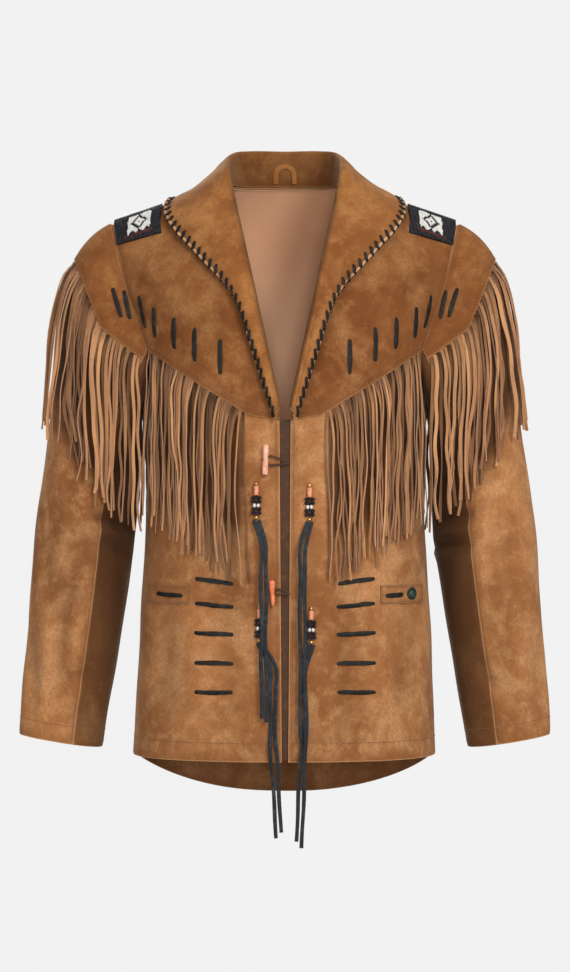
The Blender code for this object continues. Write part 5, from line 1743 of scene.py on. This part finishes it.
def jacket_materials():
    """Every material, by its name."""
    made = (
        suede("tan_suede", (0.220, 0.080, 0.025), (0.430, 0.184, 0.066), (0.640, 0.350, 0.160)),
        suede("yoke_suede", (0.150, 0.047, 0.012), (0.275, 0.106, 0.031), (0.430, 0.205, 0.076)),
        suede("collar_suede", (0.190, 0.063, 0.016), (0.350, 0.138, 0.037), (0.500, 0.240, 0.082), 0.85, 1.3),
        suede("raw_edge", (0.34, 0.180, 0.085), (0.50, 0.300, 0.160), (0.66, 0.440, 0.270)),
        fringe_suede(),
        lining_cloth(),
        thong_leather("lace_leather", (0.008, 0.007, 0.006), (0.042, 0.033, 0.024)),
        thong_leather("thong_leather", (0.011, 0.013, 0.015), (0.052, 0.060, 0.068), 0.5),
        # The strip behind the front gap: its dark brown is painted shade.
        thong_leather("placket_shade_leather", (0.060, 0.026, 0.012), (0.120, 0.058, 0.030), 0.6),
        thong_leather("loop_leather", (0.060, 0.026, 0.014), (0.150, 0.075, 0.040), 0.55),
        polished("brass", (0.62, 0.36, 0.10), (0.85, 0.58, 0.22), 0.22, 1.0),
        polished("coral_bead", (0.62, 0.20, 0.11), (0.80, 0.36, 0.22), 0.30),
        polished("jet_bead", (0.006, 0.006, 0.008), (0.020, 0.020, 0.026), 0.12),
        polished("white_bead", (0.62, 0.60, 0.56), (0.80, 0.79, 0.76), 0.25),
        polished("garnet_bead", (0.045, 0.009, 0.008), (0.120, 0.024, 0.020), 0.22),
        polished("peach_bar", (0.66, 0.30, 0.19), (0.84, 0.47, 0.34), 0.42, scale=120.0),
        polished("coral_horn", (0.60, 0.13, 0.05), (0.82, 0.28, 0.13), 0.34, scale=120.0),
        polished("dark_green_bead", (0.010, 0.022, 0.016), (0.030, 0.060, 0.045), 0.15),
        polished("tarnished_metal", (0.030, 0.032, 0.030), (0.100, 0.105, 0.095), 0.40, 0.8),
        thread("tan_thread", (0.135, 0.058, 0.022), (0.22, 0.105, 0.045)),
    )
    # Blender puts a number after a name that the frame has already
    return {material.name.partition(".")[0]: material for material in made}


Panels = namedtuple("Panels", "fronts back sleeve_tops sleeve_unders")
Yokes = namedtuple("Yokes", "fronts sleeves back")
BODY_FOLDS = 1.35
SLEEVE_FOLDS = 2.0
LINING_INSET = 0.001
LINING_ROWS_SHORT = 9
PLACKET_SHORT = 0.006
PLACKET_DEPTH = 0.0005
FRONT_FRINGE_START = 2.75 * ACROSS + 2


def shaped(grid, creases):
    """A body panel with its creases, its slow unevenness and its edges sunk in."""
    return grid.lifted(BODY_FOLDS * crease_depth(grid.place, creases, 1.0) + rolling(grid.place, 1.0)
                       + edge_roll(grid))


def sleeve_panels(sleeve):
    """The top and under sleeve of one arm, parted at the sleeve's two seams."""
    whole, last = slice(None), sleeve.points.shape[1] - 1
    creased = sleeve.lifted(SLEEVE_FOLDS * crease_depth(sleeve.place, SLEEVE_CREASES, ARM_SCALE)
                            + rolling(sleeve.place, ARM_SCALE))
    top = creased.cut(whole, slice(ARM_ROWS, last - ARM_ROWS + 1))
    behind, before = slice(last - ARM_ROWS, last), slice(0, ARM_ROWS + 1)
    under = creased.cut(whole, behind).joined(creased.cut(whole, before), 1)
    return top.lifted(edge_roll(top)), under.lifted(edge_roll(under))


def jacket_panels(front, back):
    """The fronts, the back and the sleeves, each creased by its own table."""
    sleeve = sleeve_grid(front, back)
    tops, unders = {}, {}
    for side, grid in (("left", sleeve), ("right", sleeve.mirrored())):
        tops[side], unders[side] = sleeve_panels(grid)
    fronts = {"left": shaped(front, BODY_CREASES + puckers(1.0)),
              "right": shaped(front.mirrored(), BODY_CREASES + puckers(-1.0))}
    return Panels(fronts, shaped(back.doubled(), BACK_CREASES), tops, unders)


def jacket_yokes(panels):
    """The yokes, from the points of the panels under them."""
    rows = slice(0, YOKE_ROWS + 1)
    fronts = {"left": panels.fronts["left"].cut(rows).inset(last=YOKE_INSET),
              "right": panels.fronts["right"].cut(rows).inset(first=YOKE_INSET)}
    sleeves = {side: grid.cut(slice(0, SLEEVE_YOKE_ROWS + 1)).inset(top=YOKE_INSET)
               for side, grid in panels.sleeve_tops.items()}
    return Yokes(fronts, sleeves, panels.back.cut(rows).inset(first=YOKE_INSET, last=YOKE_INSET))


def add_fringes(panels, material):
    """Every comb of strands, by the yoke that holds it."""
    skin = skin_of([*panels.fronts.values(), panels.back, *panels.sleeve_tops.values(),
                    *panels.sleeve_unders.values()])
    last = panels.fronts["left"].points.shape[1] - 1
    spans = {"left": (FRONT_FRINGE_START, last - 1.0), "right": (1.0, last - FRONT_FRINGE_START)}
    combs = {}
    for side in SIDES:
        front, top = panels.fronts[side], panels.sleeve_tops[side]
        combs["front_" + side] = add_fringe(FRONT_COMB, front, YOKE_ROWS, spans[side], skin, material,
                                            "_" + side)
        span = (0.3, top.points.shape[1] - 1 - 0.3)
        combs["sleeve_" + side] = add_fringe(SLEEVE_COMB, top, SLEEVE_YOKE_ROWS, span, skin, material,
                                             "_" + side)
    span = (1.0, panels.back.points.shape[1] - 1 - 1.0)
    combs["back"] = add_fringe(BACK_COMB, panels.back, YOKE_ROWS, span, skin, material)
    return combs


def add_panels(panels, material):
    """The suede panels, with painted shade in their creases, under the fringe and beside the body."""
    for side in SIDES:
        front, top, under = panels.fronts[side], panels.sleeve_tops[side], panels.sleeve_unders[side]
        add_shell("front_" + side, front, 0.0, WALL, material, wide=YOKE_ROWS,
                  shade=np.maximum(under_fringe(front, YOKE_ROWS) * beside_gap(front),
                                   hollows(front, BODY_CREASES)))
        add_shell("sleeve_top_" + side, top, 0.0, WALL, material,
                  shade=np.maximum(inward(top, 0.0, 0.55), under_fringe(top, SLEEVE_YOKE_ROWS))
                  + hollows(top, SLEEVE_CREASES, ARM_SCALE))
        # The under sleeve gets painted shade all over, most at its top and on the side facing the body.
        add_shell("sleeve_under_" + side, under, 0.0, WALL, material,
                  shade=inward(under, 0.66, 0.40) * downward(under, 1.10, 0.74))
    # The back panel's inner skin gets painted shade of at least 0.45.
    add_shell("back_panel", panels.back, 0.0, WALL, material, inner=0.45,
              shade=np.maximum(under_fringe(panels.back, YOKE_ROWS), hollows(panels.back, BACK_CREASES)))


def add_yokes(yokes, collar, looks):
    """The yokes, laid over the panels, and a roll at each armhole."""
    yoke, tan = looks["yoke_suede"], looks["tan_suede"]
    for side in SIDES:
        front = yokes.fronts[side]
        # Painted shadow of the collar's edge on the front yoke, and painted shade in its creases.
        add_shell("yoke_front_" + side, front, YOKE_TOP, OVERLAY, yoke,
                  wide=-1,
                  shade=beneath(front, collar.points[-1]) + hollows(front, BODY_CREASES))
        add_shell("sleeve_yoke_" + side, yokes.sleeves[side], YOKE_TOP, OVERLAY, yoke)
        line, normals = edge_line(front, OUTER_EDGE[side], 0.0006, YOKE_TOP - 0.0004)
        add_roll("armhole_roll_" + side, line, normals, ARMHOLE_ROLL, tan)
    add_shell("yoke_back", yokes.back, YOKE_TOP, OVERLAY, yoke,
              wide=-1)


def add_inner_cloth(panels, looks):
    """The back lining, and the strip behind the front gap."""
    back = panels.back
    rows = slice(0, len(back.points) - LINING_ROWS_SHORT)
    lined = back.cut(rows).inset(top=LINING_INSET, first=LINING_INSET, last=LINING_INSET)
    add_shell("back_lining", lined, -WALL - OVERLAY_GAP, LINING, looks["lining_cloth"])
    placket = placket_grid(panels.fronts["left"]).inset(bottom=PLACKET_SHORT)
    add_shell("front_placket", placket, -WALL - PLACKET_DEPTH, PLACKET_WALL, looks["placket_shade_leather"])


def add_collar(collar, looks):
    """The collar, shaded inside its stand, with the raw edge and the whip stitches round it."""
    inner_rows = np.clip(1.5 - np.arange(len(collar.points)) / 9.0, 0.0, 1.0)[:, None]
    add_shell("collar", collar, COLLAR_WALL / 2, COLLAR_WALL, looks["collar_suede"],
              shade=0.55 * inner_rows * np.ones(collar.points.shape[:2]))
    rim = collar.points[-1] + 0.0008 * unit(collar.points[-1] - collar.points[-4])
    add_roll("collar_edge_roll", rim, collar.normals[-1], COLLAR_ROLL, looks["raw_edge"])
    add_tubes("whip_stitch", whip_stitches(collar), looks["lace_leather"], "lace")


def add_patches(looks):
    """The black grounds on the shoulders, and the seed beads on them."""
    patch, beads = patch_grid(9, 16), [looks[name] for name in ("jet_bead", "white_bead", "garnet_bead")]
    for side in SIDES:
        shown = patch if side == "left" else patch.mirrored()
        add_shell("shoulder_patch_" + side, shown, PATCH_TOP, PATCH_WALL, looks["lace_leather"])
        add_beadwork(patch.lifted(PATCH_TOP), side, beads)


def add_welts(fronts, material):
    """The pocket welts on the fronts; their grids and the skin of fronts and welts together."""
    skin = skin_of(fronts.values())
    welts = {side: welt_grid(skin, sign) for side, sign in SIDES.items()}
    for side, grid in welts.items():
        edge_shade = 0.60 * np.clip(1.0 - edge_distance(grid) / 0.0022, 0.0, 1.0)
        add_shell("pocket_welt_" + side, grid, YOKE_TOP, OVERLAY, material,
                  shade=edge_shade)
    return welts, skin_of([*fronts.values(), *(grid.lifted(YOKE_TOP) for grid in welts.values())])


def seam_lines(panels, yokes, welts):
    """Every line of machine stitching, with its normals."""
    lines = []
    for side in SIDES:
        front, yoke, top = panels.fronts[side], yokes.fronts[side], panels.sleeve_tops[side]
        lines.append(edge_line(front, "bottom", HEM_TURN, 0.0))
        lines.append(edge_line(front.cut(slice(YOKE_ROWS + 1, None)), INNER_EDGE[side], FRONT_SEAM, 0.0))
        for edge, inset in (("bottom", SEAM), ("bottom", SECOND_SEAM), (OUTER_EDGE[side], SEAM)):
            lines.append(edge_line(yoke, edge, inset, YOKE_TOP))
        lines.append(edge_line(yokes.sleeves[side], "bottom", SEAM, YOKE_TOP))
        for sleeve in (top, panels.sleeve_unders[side]):
            lines.append(edge_line(sleeve, "bottom", CUFF_TURN, 0.0))
        for edge in ("first", "last"):
            lines.append(edge_line(top.cut(slice(SLEEVE_YOKE_ROWS, None)), edge, SEAM, 0.0))
        for edge in ("top", "bottom", INNER_EDGE[side]):
            lines.append(edge_line(welts[side], edge, WELT_SEAM, YOKE_TOP))
    lines.append(edge_line(panels.back, "bottom", HEM_TURN, 0.0))
    for inset in (SEAM, SECOND_SEAM):
        lines.append(edge_line(yokes.back, "bottom", inset, YOKE_TOP))
    return lines


def add_closures(looks):
    """The bead drops with their hanging thongs, and the toggles with their loops."""
    beads = [looks[name] for name in ("brass", "coral_bead", "jet_bead", "white_bead", "lace_leather")]
    knots = [add_bead_drop(drop, beads) for drop in BEAD_DROPS]
    add_thongs(knots, looks["thong_leather"])
    for toggle, name in zip(TOGGLES, ("peach_bar", "coral_horn")):
        add_toggle(toggle, looks[name])
        add_toggle_loop(toggle, looks["loop_leather"])


def main():
    looks = jacket_materials()
    (front, front_places), (back, back_places) = face_grid(FRONT), face_grid(BACK)
    panels = jacket_panels(front, back)
    yokes = jacket_yokes(panels)
    body_yokes = (*yokes.fronts.values(), yokes.back)
    every_yoke = (*yokes.fronts.values(), *yokes.sleeves.values(), yokes.back)
    body_skin, yoke_skin = (skin_of([grid.lifted(YOKE_TOP) for grid in grids])
                            for grids in (body_yokes, every_yoke))
    collar = collar_grid(front, front_places, back, back_places, body_skin)

    combs = add_fringes(panels, looks["fringe_suede"])
    add_panels(panels, looks["tan_suede"])
    add_yokes(yokes, collar, looks)
    add_inner_cloth(panels, looks)
    add_collar(collar, looks)
    add_patches(looks)
    welts, front_skin = add_welts(panels.fronts, looks["tan_suede"])
    add_yoke_laces(yoke_skin, looks["lace_leather"])
    add_front_laces(front_skin, looks["lace_leather"])
    add_concho(front_skin, [looks["tarnished_metal"], looks["dark_green_bead"]])
    add_hang_loop(looks["collar_suede"])
    add_closures(looks)
    add_stitching("seams", seam_lines(panels, yokes, welts), looks["tan_thread"])


add_camera()
add_backdrop(plain_backdrop())
add_lights()
main()
